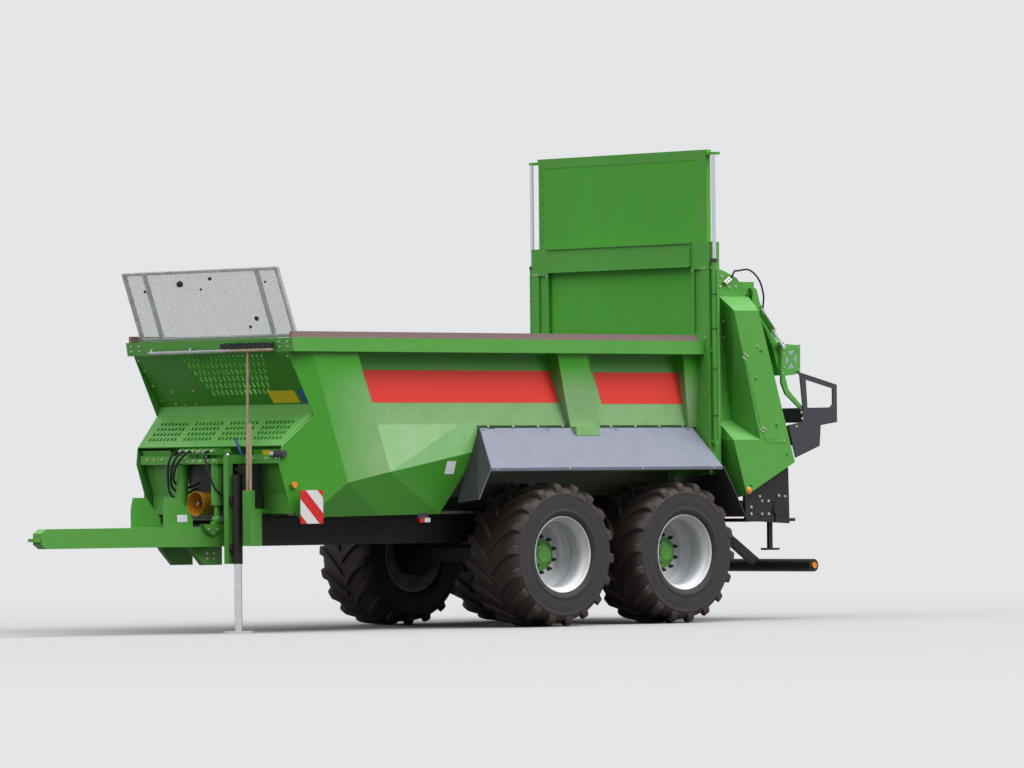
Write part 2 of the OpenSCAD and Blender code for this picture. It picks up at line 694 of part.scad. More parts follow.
module lamps() {
  color("orange") {
    both() rod_y(-4250, 525, 60, 1200, 1215);
    both() rod_y(2330, 1360, 60, cheek_y(2330, 1360) + 6.4 + gap, cheek_y(2330, 1360) + 26);
  }
}

module warning_boards() {
  color("white") both() {
    box([2041, 1112, 1003], [2314, 1120, 1310]);
    for (z = [1180, 1270]) box([2180, cheek_y(2180, z + 20) + gap, z], [2210, 1112, z + 20]);
  }
}

floor_pan();
scraper_floor();
hopper_sides();
side_cladding();
front_wall();
front_cover();
rim_frame();
rim_boards();
mesh_guard();
chassis_frame();
front_frame();
drawbar();
pto_stub();
pto_guard();
front_console();
jack_tube();
jack_foot();
bogie_springs();
axles();
tyre_front_left();
tyre_front_right();
tyre_rear_left();
tyre_rear_right();
rim_front_left();
rim_front_right();
rim_rear_left();
rim_rear_right();
fenders();
mudflaps();
gate_frame();
gate();
gate_rods();
unit_sides();
spreader_table();
beater_upper();
beater_lower();
disc_left();
disc_right();
rear_hood();
rear_deflector();
hood_barrels();
hood_rods();
underride_guard();
lamps();
warning_boards();
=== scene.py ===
import math
import bmesh
import bpy
import numpy as np
from mathutils import Matrix, Vector


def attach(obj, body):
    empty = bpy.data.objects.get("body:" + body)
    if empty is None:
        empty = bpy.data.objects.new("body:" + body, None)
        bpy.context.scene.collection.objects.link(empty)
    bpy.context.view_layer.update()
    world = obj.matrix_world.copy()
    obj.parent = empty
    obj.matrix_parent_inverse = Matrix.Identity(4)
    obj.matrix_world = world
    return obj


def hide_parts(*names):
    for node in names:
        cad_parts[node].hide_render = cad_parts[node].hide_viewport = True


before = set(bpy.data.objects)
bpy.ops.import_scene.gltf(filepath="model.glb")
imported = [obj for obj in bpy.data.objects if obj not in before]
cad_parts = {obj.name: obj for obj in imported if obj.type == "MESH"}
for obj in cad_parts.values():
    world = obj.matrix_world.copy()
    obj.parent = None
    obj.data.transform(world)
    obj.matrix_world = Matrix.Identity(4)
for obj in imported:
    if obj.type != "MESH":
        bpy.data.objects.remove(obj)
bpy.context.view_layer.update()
print("frame loaded")


# Finishes: every pattern has its size in millimetres in Object coordinates

def toLinear(hexText):
    # sRGB hex to linear: low values divide by 12.92, the rest follow the 2.4 power curve
    c = np.array([int(hexText[i:i + 2], 16) / 255 for i in (1, 3, 5)])
    lin = np.where(c <= 0.04045, c / 12.92, ((c + 0.055) / 1.055) ** 2.4)
    return (*lin.tolist(), 1.0)


def addNode(tree, kind, settings=None, links=None):
    # settings name a property or an input, with a hex text for a colour; links name an input and give what
    # feeds it, an output or a whole node
    node = tree.nodes.new("ShaderNode" + kind) if isinstance(kind, str) else kind
    if kind == "Mix":
        node.data_type = "RGBA"
    for key, value in (settings or {}).items():
        if isinstance(value, str) and value.startswith("#"):
            value = toLinear(value)
        if isinstance(key, int) or key in node.inputs:
            node.inputs[key].default_value = value
        else:
            setattr(node, key, value)
    for key, source in (links or {}).items():
        if isinstance(source, bpy.types.Node):
            # a colour mix gives its result as its third output, the other kinds as their first
            source = source.outputs[2 if source.bl_idname == "ShaderNodeMix" else 0]
        tree.links.new(source, node.inputs[key])
    return node


def startMaterial(name):
    mat = bpy.data.materials.new(name)
    mat.use_nodes = True
    tree = mat.node_tree
    return mat, tree, tree.nodes["Principled BSDF"], addNode(tree, "TexCoord").outputs["Object"]


def archShadeAndSoilMask(tree, place):
    # 1 under the fenders, where the hopper's lower walls take painted shade along with the soil the wheels
    # throw
    share = None
    for axis, start, full in (("X", 0.14, 0.04), ("X", -2.8, -2.76), ("Z", 1.56, 1.44)):
        edge = addNode(tree, "MapRange", {"From Min": start, "From Max": full},
                       {"Value": place.outputs[axis]})
        share = addNode(tree, "Math", {"operation": "MULTIPLY"}, {0: share, 1: edge}) if share else edge
    return share


def loadResidue(tree, place, facing, thin):
    # patches of the load left on the inner faces, which look towards the middle plane
    inward = addNode(tree, "Math", {"operation": "MULTIPLY"},
                     {0: place.outputs["Y"], 1: facing.outputs["Y"]})
    inside = addNode(tree, "MapRange", {"From Min": -0.3, "From Max": -0.45}, {"Value": inward})
    patch = addNode(tree, "MapRange", {"From Min": 0.753, "From Max": 1.0, "To Max": 0.62}, {"Value": thin})
    return addNode(tree, "Math", {"operation": "MULTIPLY"}, {0: inside, 1: patch})


# what a paint says unless its own dict differs: heights and places in metres, the rest as shares
paintPlan = dict(driftMm=200, dustTop=1.5, dust=0.2, spots=0.2, rough=0.4, shine=0.25, coat=0.05,
                 streaks=0.06, film=0.0, veil="#b4c9a6", hazeAndLight=0.0, hazeAndLightTop=9.0, hazeAndLightFall=0.25,
                 hazeAndLightFront=9.0, hazeAndLightRun=0.8)


def paintedSteel(name, paint):
    # Sprayed enamel on sheet steel: even gloss, faint orange peel, dust low down, scuffs, small dried clods,
    # pale veils that are partly dust and partly painted light, and painted shade under the fenders.
    paint = {**paintPlan, **paint}
    mat, tree, shader, coords = startMaterial(name)
    # patterns: noises to the metre, detail, roughness
    drift, grit, lumps, uneven, peel = [
        addNode(tree, "TexNoise", {"Scale": scale, "Detail": detail, "Roughness": rough},
                {"Vector": coords})
        for scale, detail, rough in (
            (1000 / paint["driftMm"], 3, 0.5), (26, 8, 0.7), (42, 2, 0.6), (5, 7, 0.6), (70, 2, 0.5))]
    body = addNode(tree, "Mix", {6: paint["base"], 7: paint["other"]}, {0: drift})
    place = addNode(tree, "SeparateXYZ", links={"Vector": coords})
    low = addNode(tree, "MapRange", {"From Min": paint["dustTop"], "From Max": 0.4},
                  {"Value": place.outputs["Z"]})
    scuffs = addNode(tree, "MapRange", {"From Min": 0.44, "From Max": 0.72}, {"Value": grit})
    dusty = addNode(tree, "Math", {"operation": "MULTIPLY"}, {0: low, 1: scuffs})
    dust = addNode(tree, "Math", {"operation": "MULTIPLY", 1: paint["dust"]}, {0: dusty})
    clods = addNode(tree, "MapRange", {"From Min": 0.735, "From Max": 0.76, "To Max": paint["spots"]},
                    {"Value": lumps})
    # faces that look up get a pale film, partly dust and partly painted sky sheen, and rain draws dirt down
    # in streaks
    facing = addNode(tree, "SeparateXYZ", links={"Vector": addNode(tree, "NewGeometry").outputs["Normal"]})
    # all faces get a pale haze, partly road dust and partly painted light, which stops below a set height
    # and fades out towards the front, leaving painted shade under the rail and on the front cheeks where a
    # paint sets them
    front, top = paint["hazeAndLightFront"], paint["hazeAndLightTop"]
    back = addNode(tree, "MapRange", {"From Min": front, "From Max": front - paint["hazeAndLightRun"],
                                      "To Max": paint["hazeAndLight"]}, {"Value": place.outputs["X"]})
    hazeAndLight = addNode(tree, "MapRange", {"From Min": top, "From Max": top - paint["hazeAndLightFall"]},
                   {"Value": place.outputs["Z"], "To Max": back})
    dustAndSheen = addNode(tree, "MapRange", {"From Min": -0.02, "From Max": 0.5, "To Max": paint["film"]},
                      {"Value": facing.outputs["Z"], "To Min": hazeAndLight})
    thin = addNode(tree, "MapRange", {"From Min": 0.3, "From Max": 0.62, "To Min": 0.74}, {"Value": uneven})
    film = addNode(tree, "Math", {"operation": "MULTIPLY"}, {0: dustAndSheen, 1: thin})
    filmed = addNode(tree, "Mix", {7: paint["veil"]}, {0: film, 6: body})
    drawn = addNode(tree, "VectorMath", {"operation": "MULTIPLY", 1: (9.0, 9.0, 0.7)}, {0: coords})
    runs = addNode(tree, "TexNoise", {"Scale": 1.6, "Detail": 6, "Roughness": 0.62}, {"Vector": drawn})
    streaks = addNode(tree, "MapRange", {"From Min": 0.52, "From Max": 0.72, "To Max": paint["streaks"]},
                      {"Value": runs})
    streaked = addNode(tree, "Mix", {7: "#6b5a35"}, {0: streaks, 6: filmed})
    dulled = addNode(tree, "Mix", {7: "#75684f"}, {0: dust, 6: streaked})
    surface = addNode(tree, "Mix", {7: "#3f3427"}, {0: clods, 6: dulled})
    # near-black under the fenders: painted shade with thrown soil; the same colour marks patches of the load
    # on the inner faces
    if "archShadeAndSoil" in paint:
        shadeAndSoil = addNode(tree, "Math", {"operation": "MULTIPLY", 1: paint["archShadeAndSoil"]},
                        {0: archShadeAndSoilMask(tree, place)})
        shadeAndSoil = addNode(tree, "Math", {"operation": "MAXIMUM"},
                        {0: shadeAndSoil, 1: loadResidue(tree, place, facing, thin)})
        surface = addNode(tree, "Mix", {7: "#1d1810"}, {0: shadeAndSoil, 6: surface})
    rough = addNode(tree, "MapRange", {"To Min": paint["rough"], "To Max": paint["rough"] + 0.22},
                    {"Value": scuffs})
    relief = addNode(tree, "Bump", {"Strength": 0.25, "Distance": 0.0006}, {"Height": peel})
    addNode(tree, shader,
            {"Specular IOR Level": paint["shine"], "Coat Weight": paint["coat"], "Coat Roughness": 0.16},
            {"Base Color": surface, "Roughness": rough, "Normal": relief})
    return mat


# the green's film and haze: pale upward faces and a pale cast overall, partly dust and partly painted sky
# sheen and painted light
greenPaint = dict(base="#45a426", other="#3a971e", driftMm=900, dustTop=1.7, dust=0.5, spots=0.6,
                  rough=0.36, coat=0.1, film=0.22, hazeAndLight=0.12)
insidePaint = dict(greenPaint, dustTop=3.4, spots=1.0, rough=0.45, coat=0.04)
greenEnamel = paintedSteel("greenEnamel", greenPaint)
greenInside = paintedSteel("greenEnamelWorn", dict(
    insidePaint, base="#3d9622", other="#33861b", dust=0.7, streaks=0.4, hazeAndLight=0.0))
# the gate's copy of the worn green, painted lighter: painted light on its forward face
greenGate = paintedSteel("greenGateEnamel", dict(
    insidePaint, base="#4fb033", other="#43a12b", streaks=0.2, hazeAndLight=0.04))
# hopper walls: near-black painted shade with thrown soil under the fenders; a pale haze, partly dust and
# partly painted light, that stops under the rail's shadow at 2.47 m and fades out towards the front cheeks;
# a strong pale film on upward faces, partly dust and partly painted sky sheen
greenWalls = paintedSteel("greenEnamelSoiledAndShaded", dict(
    greenPaint, archShadeAndSoil=0.94, film=0.6, hazeAndLight=0.52, hazeAndLightTop=2.47, hazeAndLightFront=2.15))
# skirts: a strong pale film on their upward slope, partly dust and partly painted sky sheen
greenSkirts = paintedSteel("greenSkirtEnamel", dict(greenPaint, film=0.9, veil="#c4d4ba", hazeAndLight=0.03))
redFilm = paintedSteel("redVinylFilm", dict(
    base="#f4483f", other="#ec4037", driftMm=700, dust=0.1, rough=0.3, shine=0.2, coat=0.06))
# fenders: a pale film on their upward faces, partly dust and partly painted sky sheen
greyEnamel = paintedSteel("greyFenderEnamel", dict(
    base="#6c7186", other="#60657a", driftMm=500, dustTop=2.3, dust=0.45, spots=0.8, shine=0.4, coat=0.15,
    film=0.25, veil="#b4b8c6"))
darkEnamel = paintedSteel("anthraciteEnamel", dict(
    base="#3d3e45", other="#34353b", driftMm=400, dustTop=1.6, dust=0.5, spots=0.5, rough=0.42, shine=0.3,
    coat=0.1))
blackEnamel = paintedSteel("blackChassisEnamel", dict(
    base="#1b1b1d", other="#232323", driftMm=300, dust=0.25, spots=0.4, rough=0.5, coat=0.03))
rimEnamel = paintedSteel("silverRimEnamel", dict(
    base="#e3e5e9", other="#dadce0", dustTop=1.2, dust=0.12, spots=0.6, rough=0.32, shine=0.5, coat=0.3))
# rim well: darker grey, painted shade deep in the barrel with some dust
wellShadeEnamel = paintedSteel("shadedDustyRimWell", dict(
    base="#c3c5c9", other="#b4b6ba", driftMm=60, dustTop=1.2, dust=0.3, spots=0.6, rough=0.45, shine=0.4,
    coat=0.1))
whiteFilm = paintedSteel("whitePlateFilm", dict(
    base="#f1f4fb", other="#e9edf6", dust=0.05, spots=0.1, shine=0.3))
yellowFilm = paintedSteel("yellowPlateFilm", dict(base="#ffdd36", other="#fbd22f", dust=0.05, shine=0.2))
blueFilm = paintedSteel("bluePlateFilm", dict(base="#3f74b5", other="#396aa8", spots=0.1, shine=0.2))
hoseRubber = paintedSteel("blackHoseRubber", dict(
    base="#1e1f21", other="#28282a", driftMm=120, dustTop=1.6, dust=0.5, rough=0.5, coat=0.0))


def stripedBoardFilm():
    # Retroreflective sheet on aluminium: red and white bars 100 mm wide that fall towards the rear.
    mat, tree, shader, coords = startMaterial("stripedBoardFilm")
    parts = addNode(tree, "SeparateXYZ", links={"Vector": coords})
    slope = addNode(tree, "Math", {"operation": "SUBTRACT"}, {0: parts.outputs["X"], 1: parts.outputs["Z"]})
    turned = addNode(tree, "Math", {"operation": "MULTIPLY_ADD", 1: 1 / 0.285, 2: 0.19}, {0: slope})
    part = addNode(tree, "Math", {"operation": "FRACT"}, {0: turned})
    bars = addNode(tree, "Math", {"operation": "GREATER_THAN", 1: 0.5}, {0: part})
    colour = addNode(tree, "Mix", {6: "#dfe0df", 7: "#d02323"}, {0: bars})
    grit = addNode(tree, "TexNoise", {"Scale": 33, "Detail": 6, "Roughness": 0.7}, {"Vector": coords})
    dust = addNode(tree, "MapRange", {"From Min": 0.5, "From Max": 0.85, "To Max": 0.5}, {"Value": grit})
    dulled = addNode(tree, "Mix", {7: "#8d8377"}, {0: dust, 6: colour})
    addNode(tree, shader, {"Roughness": 0.35, "Specular IOR Level": 0.25}, {"Base Color": dulled})
    return mat


def bareSteel(name, steel):
    # Bare or zinc coated steel: metal with soft spangle or rubbed streaks, duller where dirt sits.
    mat, tree, shader, coords = startMaterial(name)
    grain = addNode(tree, "TexVoronoi", {"Scale": 1000 / steel["grainMm"]}, {"Vector": coords})
    tone = addNode(tree, "SeparateColor", links={"Color": grain.outputs["Color"]})
    metal = addNode(tree, "Mix", {6: steel["base"], 7: steel["other"]}, {0: tone})
    cloud = addNode(tree, "TexNoise", {"Scale": 11, "Detail": 6, "Roughness": 0.65}, {"Vector": coords})
    blotch = addNode(tree, "MapRange", {"From Min": 0.4, "From Max": 0.75}, {"Value": cloud})
    dirt = addNode(tree, "Math", {"operation": "MULTIPLY", 1: steel["dirt"]}, {0: blotch})
    dulled = addNode(tree, "Mix", {7: "#5d5245"}, {0: dirt, 6: metal})
    rough = addNode(tree, "MapRange", {"To Min": steel["rough"], "To Max": steel["rough"] + 0.25},
                    {"Value": blotch})
    relief = addNode(tree, "Bump", {"Strength": 0.15, "Distance": 0.0003}, {"Height": tone})
    addNode(tree, shader, {"Metallic": steel["metallic"]},
            {"Base Color": dulled, "Roughness": rough, "Normal": relief})
    return mat


zincSteel = bareSteel("hotDipZincSteel", dict(
    base="#c3c6ca", other="#a9acb2", grainMm=16, dirt=0.4, metallic=0.5, rough=0.4))
meshSteel = bareSteel("zincMeshSteel", dict(
    base="#64676b", other="#54575b", grainMm=16, dirt=0.6, metallic=0.4, rough=0.45))
wornSteel = bareSteel("wornBareSteel", dict(
    base="#8b8782", other="#75716c", grainMm=9, dirt=0.8, metallic=0.7, rough=0.42))
chromeRod = bareSteel("hardChromeRod", dict(
    base="#d9dbde", other="#d2d4d8", grainMm=60, dirt=0.1, metallic=1.0, rough=0.14))
boltSteel = bareSteel("zincPlatedBolts", dict(
    base="#c9c7bd", other="#b4b2a8", grainMm=8, dirt=0.3, metallic=0.7, rough=0.35))


def tyreRubber():
    # Moulded rubber: smooth grey sidewall, brown field soil on the tread and in the lug roots, weighted by
    # the soil attribute.
    mat, tree, shader, coords = startMaterial("treadRubber")
    soilHere = addNode(tree, "Attribute", {"attribute_name": "soil"})
    cloud, mottle, lumps, pores = [
        addNode(tree, "TexNoise", {"Scale": scale, "Detail": detail, "Roughness": rough},
                {"Vector": coords})
        for scale, detail, rough in ((22, 8, 0.72), (6, 3, 0.5), (55, 5, 0.5), (110, 5, 0.7))]
    patch = addNode(tree, "MapRange", {"From Min": 0.34, "From Max": 0.62}, {"Value": cloud})
    cover = addNode(tree, "Math", {"operation": "MULTIPLY"}, {0: soilHere.outputs["Fac"], 1: patch})
    rubber = addNode(tree, "Mix", {6: "#252426", 7: "#2e2c2f"}, {0: mottle})
    soil = addNode(tree, "Mix", {6: "#241a15", 7: "#4f3b30"}, {0: lumps})
    colour = addNode(tree, "Mix", links={0: cover, 6: rubber, 7: soil})
    relief = addNode(tree, "Bump", {"Strength": 0.4, "Distance": 0.002}, {"Height": pores})
    addNode(tree, shader, {"Roughness": 0.62, "Specular IOR Level": 0.35},
            {"Base Color": colour, "Normal": relief})
    return mat


def plainPlastic(name, plastic):
    # Moulded plastic, sheet rubber or film faced board: one colour with faint mottling and a fine grain.
    mat, tree, shader, coords = startMaterial(name)
    cloud = addNode(tree, "TexNoise", {"Scale": 1000 / plastic["mottleMm"], "Detail": 6, "Roughness": 0.65},
                    {"Vector": coords})
    colour = addNode(tree, "Mix", {6: plastic["base"], 7: plastic["other"]}, {0: cloud})
    grain = addNode(tree, "TexNoise", {"Scale": 1000 / plastic["grainMm"], "Detail": 3}, {"Vector": coords})
    relief = addNode(tree, "Bump", {"Strength": 0.35, "Distance": 0.0008}, {"Height": grain})
    addNode(tree, shader, {"Roughness": plastic["rough"]}, {"Base Color": colour, "Normal": relief})
    return mat


boardFace = plainPlastic("brownBoardFace", dict(
    base="#7d6466", other="#8f7674", mottleMm=120, grainMm=12, rough=0.6))
guardPlastic = plainPlastic("yellowGuardPlastic", dict(
    base="#c98a22", other="#b87a1a", mottleMm=80, grainMm=9, rough=0.45))
flapRubber = plainPlastic("blackSheetRubber", dict(
    base="#26262a", other="#303034", mottleMm=90, grainMm=6, rough=0.6))
amberLens = plainPlastic("amberLensPlastic", dict(
    base="#f0921a", other="#e8840f", mottleMm=40, grainMm=5, rough=0.2))
redLens = plainPlastic("redLensPlastic", dict(
    base="#c9201c", other="#b81a18", mottleMm=40, grainMm=5, rough=0.2))
clearLens = plainPlastic("clearLensPlastic", dict(
    base="#d8dde0", other="#c8ced2", mottleMm=30, grainMm=5, rough=0.15))
handleWood = plainPlastic("ashHandleWood", dict(
    base="#cdb89d", other="#8f765b", mottleMm=160, grainMm=4, rough=0.6))
bluePlastic = plainPlastic("blueLeverPlastic", dict(
    base="#3a55a0", other="#344d94", mottleMm=30, grainMm=5, rough=0.4))
reflector = plainPlastic("greyReflectorFilm", dict(
    base="#9fb0bd", other="#92a3b1", mottleMm=60, grainMm=3, rough=0.3))
soilClod = plainPlastic("driedManureClod", dict(
    base="#2b231b", other="#453829", mottleMm=14, grainMm=4, rough=0.9))
treadMat = tyreRubber()
boardFilm = stripedBoardFilm()
print("finishes made")

nodeFinish = {
    greenWalls: "hopper_sides",
    greenSkirts: "side_cladding",
    greenEnamel: "rim_frame front_frame front_console drawbar gate_frame unit_sides rear_hood hood_barrels"
                 " front_cover",
    greenInside: "front_wall floor_pan",
    greenGate: "gate",
    boardFace: "rim_boards",
    zincSteel: "mesh_guard",
    wornSteel: "scraper_floor beater_upper beater_lower disc_left disc_right pto_stub",
    guardPlastic: "pto_guard",
    blackEnamel: "jack_tube bogie_springs underride_guard chassis_frame axles spreader_table",
    chromeRod: "jack_foot gate_rods hood_rods",
    greyEnamel: "fenders",
    flapRubber: "mudflaps",
    darkEnamel: "rear_deflector",
    amberLens: "lamps",
    boardFilm: "warning_boards",
    treadMat: "tyre_front_left tyre_front_right tyre_rear_left tyre_rear_right",
    rimEnamel: "rim_front_left rim_front_right rim_rear_left rim_rear_right",
}
for finish, names in nodeFinish.items():
    for name in names.split():
        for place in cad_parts[name].material_slots:
            place.material = finish


# Shapes

def addPiece(name, points, faces, finish, body="chassis", slot=None, smooth=None, soil=None):
    # closed pieces: doubles are merged and faces turned outwards
    mesh = bpy.data.meshes.new(name)
    mesh.from_pydata(np.asarray(points, float).tolist(), [], [list(map(int, f)) for f in faces])
    if soil is not None:
        values = np.asarray(soil, np.float32)
        mesh.attributes.new("soil", "FLOAT", "POINT").data.foreach_set("value", values)
    work = bmesh.new()
    work.from_mesh(mesh)
    bmesh.ops.remove_doubles(work, verts=work.verts, dist=1e-5)
    bmesh.ops.recalc_face_normals(work, faces=work.faces)
    work.to_mesh(mesh)
    work.free()
    piece = bpy.data.objects.new(name, mesh)
    bpy.context.scene.collection.objects.link(piece)
    piece.data.materials.append(finish)
    if smooth is not None:
        mesh.shade_smooth()
        mesh.set_sharp_from_angle(angle=math.radians(smooth))
    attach(piece, body)
    return piece


def gridFaces(rows, cols, wrapRows=False, wrapCols=False, offset=0):
    # quads between neighbours of a grid of rows times cols points
    r = np.arange(rows if wrapRows else rows - 1)
    c = np.arange(cols if wrapCols else cols - 1)
    rr, cc = np.meshgrid(r, c, indexing="ij")
    a = rr * cols + cc
    b = rr * cols + (cc + 1) % cols
    d = ((rr + 1) % rows) * cols + cc
    e = ((rr + 1) % rows) * cols + (cc + 1) % cols
    return (np.stack([a, b, e, d], -1).reshape(-1, 4) + offset).tolist()


def joined(shapes):
    # one list of points and faces out of many
    points, faces, count = [], [], 0
    for p, f in shapes:
        points.append(np.asarray(p, float))
        faces += [[i + count for i in face] for face in f]
        count += len(p)
    return np.vstack(points), faces


def tube(path, radius, sides=8):
    # a circle carried along a path: each ring stands square to the path's direction
    path = np.asarray(path, float)
    radius = np.broadcast_to(radius, len(path))
    heading = np.gradient(path, axis=0)
    heading /= np.linalg.norm(heading, axis=1, keepdims=True)
    side = np.cross(heading, [0.31, 0.17, 0.93])
    side /= np.linalg.norm(side, axis=1, keepdims=True)
    upward = np.cross(side, heading)
    turn = np.linspace(0, 2 * math.pi, sides, endpoint=False)
    rings = path[:, None] + radius[:, None, None] * (
        np.cos(turn)[None, :, None] * side[:, None] + np.sin(turn)[None, :, None] * upward[:, None])
    faces = gridFaces(len(path), sides, wrapCols=True)
    faces += [list(range(sides)), list(range((len(path) - 1) * sides, len(path) * sides))]
    return rings.reshape(-1, 3), faces


def curveThrough(points, steps=8):
    # Catmull-Rom: each stretch is the cubic through its two points with slopes from their neighbours
    p = np.asarray(points, float)
    p = np.vstack([2 * p[0] - p[1], p, 2 * p[-1] - p[-2]])
    t = np.linspace(0, 1, steps, endpoint=False)[:, None]
    out = [0.5 * (2 * p[i] + (p[i + 1] - p[i - 1]) * t
                  + (2 * p[i - 1] - 5 * p[i] + 4 * p[i + 1] - p[i + 2]) * t ** 2
                  + (3 * p[i] - p[i - 1] - 3 * p[i + 1] + p[i + 2]) * t ** 3)
           for i in range(1, len(p) - 2)]
    return np.vstack(out + [p[-2:-1]])


def prism(outline, shift):
    # an outline carried along a straight shift, closed at both ends
    a = np.asarray(outline, float)
    n = len(a)
    faces = gridFaces(2, n, wrapCols=True) + [list(range(n)), list(range(n, 2 * n))]
    return np.vstack([a, a + np.asarray(shift, float)]), faces


def acrossPlate(outline, y0, y1):
    return prism([(x, y0, z) for x, z in outline], (0, y1 - y0, 0))


def block(a, b):
    return acrossPlate([(a[0], a[2]), (b[0], a[2]), (b[0], b[2]), (a[0], b[2])], a[1], b[1])


def sided(side, shape):
    # a shape made for the left side, with its Y turned round for the right
    return np.asarray(shape[0]) * [1, side, 1], shape[1]


def lathe(profile, centre=(0, 0, 0), axis=(0, 1, 0), sides=32, ring=False):
    # (radius, height) pairs turned about an axis through the centre; a ring's profile closes on itself
    axis = np.asarray(axis, float) / np.linalg.norm(axis)
    u = np.cross(axis, [0.13, 0.31, 0.94]) if abs(axis[2]) < 0.9 else np.cross(axis, [1, 0, 0])
    u /= np.linalg.norm(u)
    v = np.cross(axis, u)
    turn = np.linspace(0, 2 * math.pi, sides, endpoint=False)
    r, h = np.asarray(profile, float).T
    rings = (np.asarray(centre, float) + h[:, None, None] * axis
             + r[:, None, None] * (np.cos(turn)[None, :, None] * u + np.sin(turn)[None, :, None] * v))
    faces = gridFaces(len(r), sides, wrapRows=ring, wrapCols=True)
    if not ring:
        faces += [list(range(sides)), list(range((len(r) - 1) * sides, len(r) * sides))]
    return rings.reshape(-1, 3), faces


def bolts(places, axis, size=0.022):
    # hexagon head on a washer, as tall as half its width
    profile = np.array([(0.62, 0), (0.62, 0.08), (0.5, 0.1), (0.5, 0.42), (0.4, 0.5)]) * size
    return joined([lathe(profile, p, axis, 6) for p in places])


def soften(piece, width, segments=2):
    mod = piece.modifiers.new("softEdges", "BEVEL")
    mod.width, mod.segments, mod.limit_method, mod.angle_limit = width, segments, "ANGLE", math.radians(35)
    mod.harden_normals = False


bothSides = (("left", 1), ("right", -1))
wheelPlan = dict(axles=dict(front=-0.735, rear=-2.335), half=1.055, radius=0.68, sides=120)
# the soil attribute on a tyre: little on the sidewall, all of it beyond the fade's end
soilPlan = dict(least=0.1, start=0.54, fade=0.05)
lugPlan = dict(count=18, stagger=0.25, middle=0.012, reach=0.317, lean=0.34, hook=1.6, meanRadius=0.66)


def wheelPoint(end, side, p):
    # from the wheel's own frame, outer side towards +Y, to its place on the left or right
    p = np.asarray(p, float)
    return np.stack([wheelPlan["axles"][end] + p[:, 0], side * (wheelPlan["half"] + p[:, 1]),
                     wheelPlan["radius"] + p[:, 2]], -1)


def tyreCarcass():
    # half a section as (y, radius) pairs: bead, flat sidewall with two moulded rings, shoulder, tread; the
    # whole section is turned about the axle
    half = [(-0.262, 0.346), (-0.291, 0.3626), (-0.3056, 0.3626), (-0.318, 0.371), (-0.327, 0.386),
            (-0.331, 0.402), (-0.3335, 0.408), (-0.3335, 0.415), (-0.331, 0.42), (-0.333, 0.45),
            (-0.3345, 0.49), (-0.334, 0.53), (-0.331, 0.562), (-0.333, 0.568), (-0.333, 0.575),
            (-0.328, 0.58), (-0.316, 0.604), (-0.29, 0.626), (-0.235, 0.64), (-0.14, 0.648),
            (-0.05, 0.652)]
    profile = np.array(half + [(-y, r) for y, r in reversed(half)])
    sides = wheelPlan["sides"]
    turn = np.linspace(0, 2 * math.pi, sides, endpoint=False)
    y, r = profile.T
    straight = np.outer(y, np.ones(sides))
    rings = np.stack([np.outer(r, np.cos(turn)), straight, np.outer(r, np.sin(turn))], -1)
    return rings.reshape(-1, 3), gridFaces(len(profile), sides, wrapRows=True, wrapCols=True)


def treadLug(start, side):
    # a bar that runs from the tread's middle over the shoulder, leaning back along the tread as it goes
    s = np.array([0.0, 0.14, 0.32, 0.52, 0.72, 0.88, 0.96, 1.0])
    y = side * (lugPlan["middle"] + s * lugPlan["reach"])
    lean = start + lugPlan["lean"] * (1 - (1 - s) ** lugPlan["hook"])
    top = np.array([0.674, 0.6785, 0.679, 0.679, 0.6785, 0.673, 0.656, 0.628])
    foot = np.array([0.645, 0.645, 0.644, 0.638, 0.63, 0.612, 0.594, 0.578])
    wide = np.array([0.034, 0.04, 0.047, 0.054, 0.064, 0.072, 0.074, 0.07]) / lugPlan["meanRadius"]
    rows = []
    for place, grow in ((foot, 0.75), (top, 0.5), (top, -0.5), (foot, -0.75)):
        a = lean + wide * grow
        rows.append(np.stack([place * np.cos(a), y, place * np.sin(a)], -1))
    points = np.stack(rows, 1).reshape(-1, 3)
    ends = [[0, 1, 2, 3], list(range(len(points) - 4, len(points)))]
    return points, gridFaces(len(s), 4, wrapCols=True) + ends


rimRings = [
    # closed (radius, y) sections: rolled lip, ridge behind it, bead in the barrel, step and weld at the
    # disc's edge
    [(0.3615, 0.298), (0.3615, 0.3065), (0.358, 0.3095), (0.352, 0.308), (0.3475, 0.3), (0.352, 0.294)],
    [(0.3335, 0.268), (0.328, 0.262), (0.3165, 0.236), (0.3115, 0.214), (0.313, 0.204), (0.318, 0.2),
     (0.33, 0.25)],
    [(0.3165, 0.06), (0.3115, 0.054), (0.3115, 0.044), (0.3165, 0.038)],
    [(0.3175, -0.02), (0.309, -0.026), (0.298, -0.05), (0.288, -0.058), (0.3175, -0.07)],
    [(0.2, -0.014), (0.196, -0.01), (0.188, -0.0095), (0.184, -0.0135), (0.192, -0.02)],
]


def treadShape():
    # carcass and lugs as one shape, and its soil by the distance from the axle
    count = lugPlan["count"]
    turns = [((i + lugPlan["stagger"] * side) * 2 * math.pi / count, side)
             for i in range(count) for side in (1, -1)]
    points, faces = joined([tyreCarcass()] + [treadLug(*one) for one in turns])
    beyond = (np.hypot(points[:, 0], points[:, 2]) - soilPlan["start"]) / soilPlan["fade"]
    soil = soilPlan["least"] + (1 - soilPlan["least"]) * np.clip(beyond, 0, 1)
    return points, faces, soil


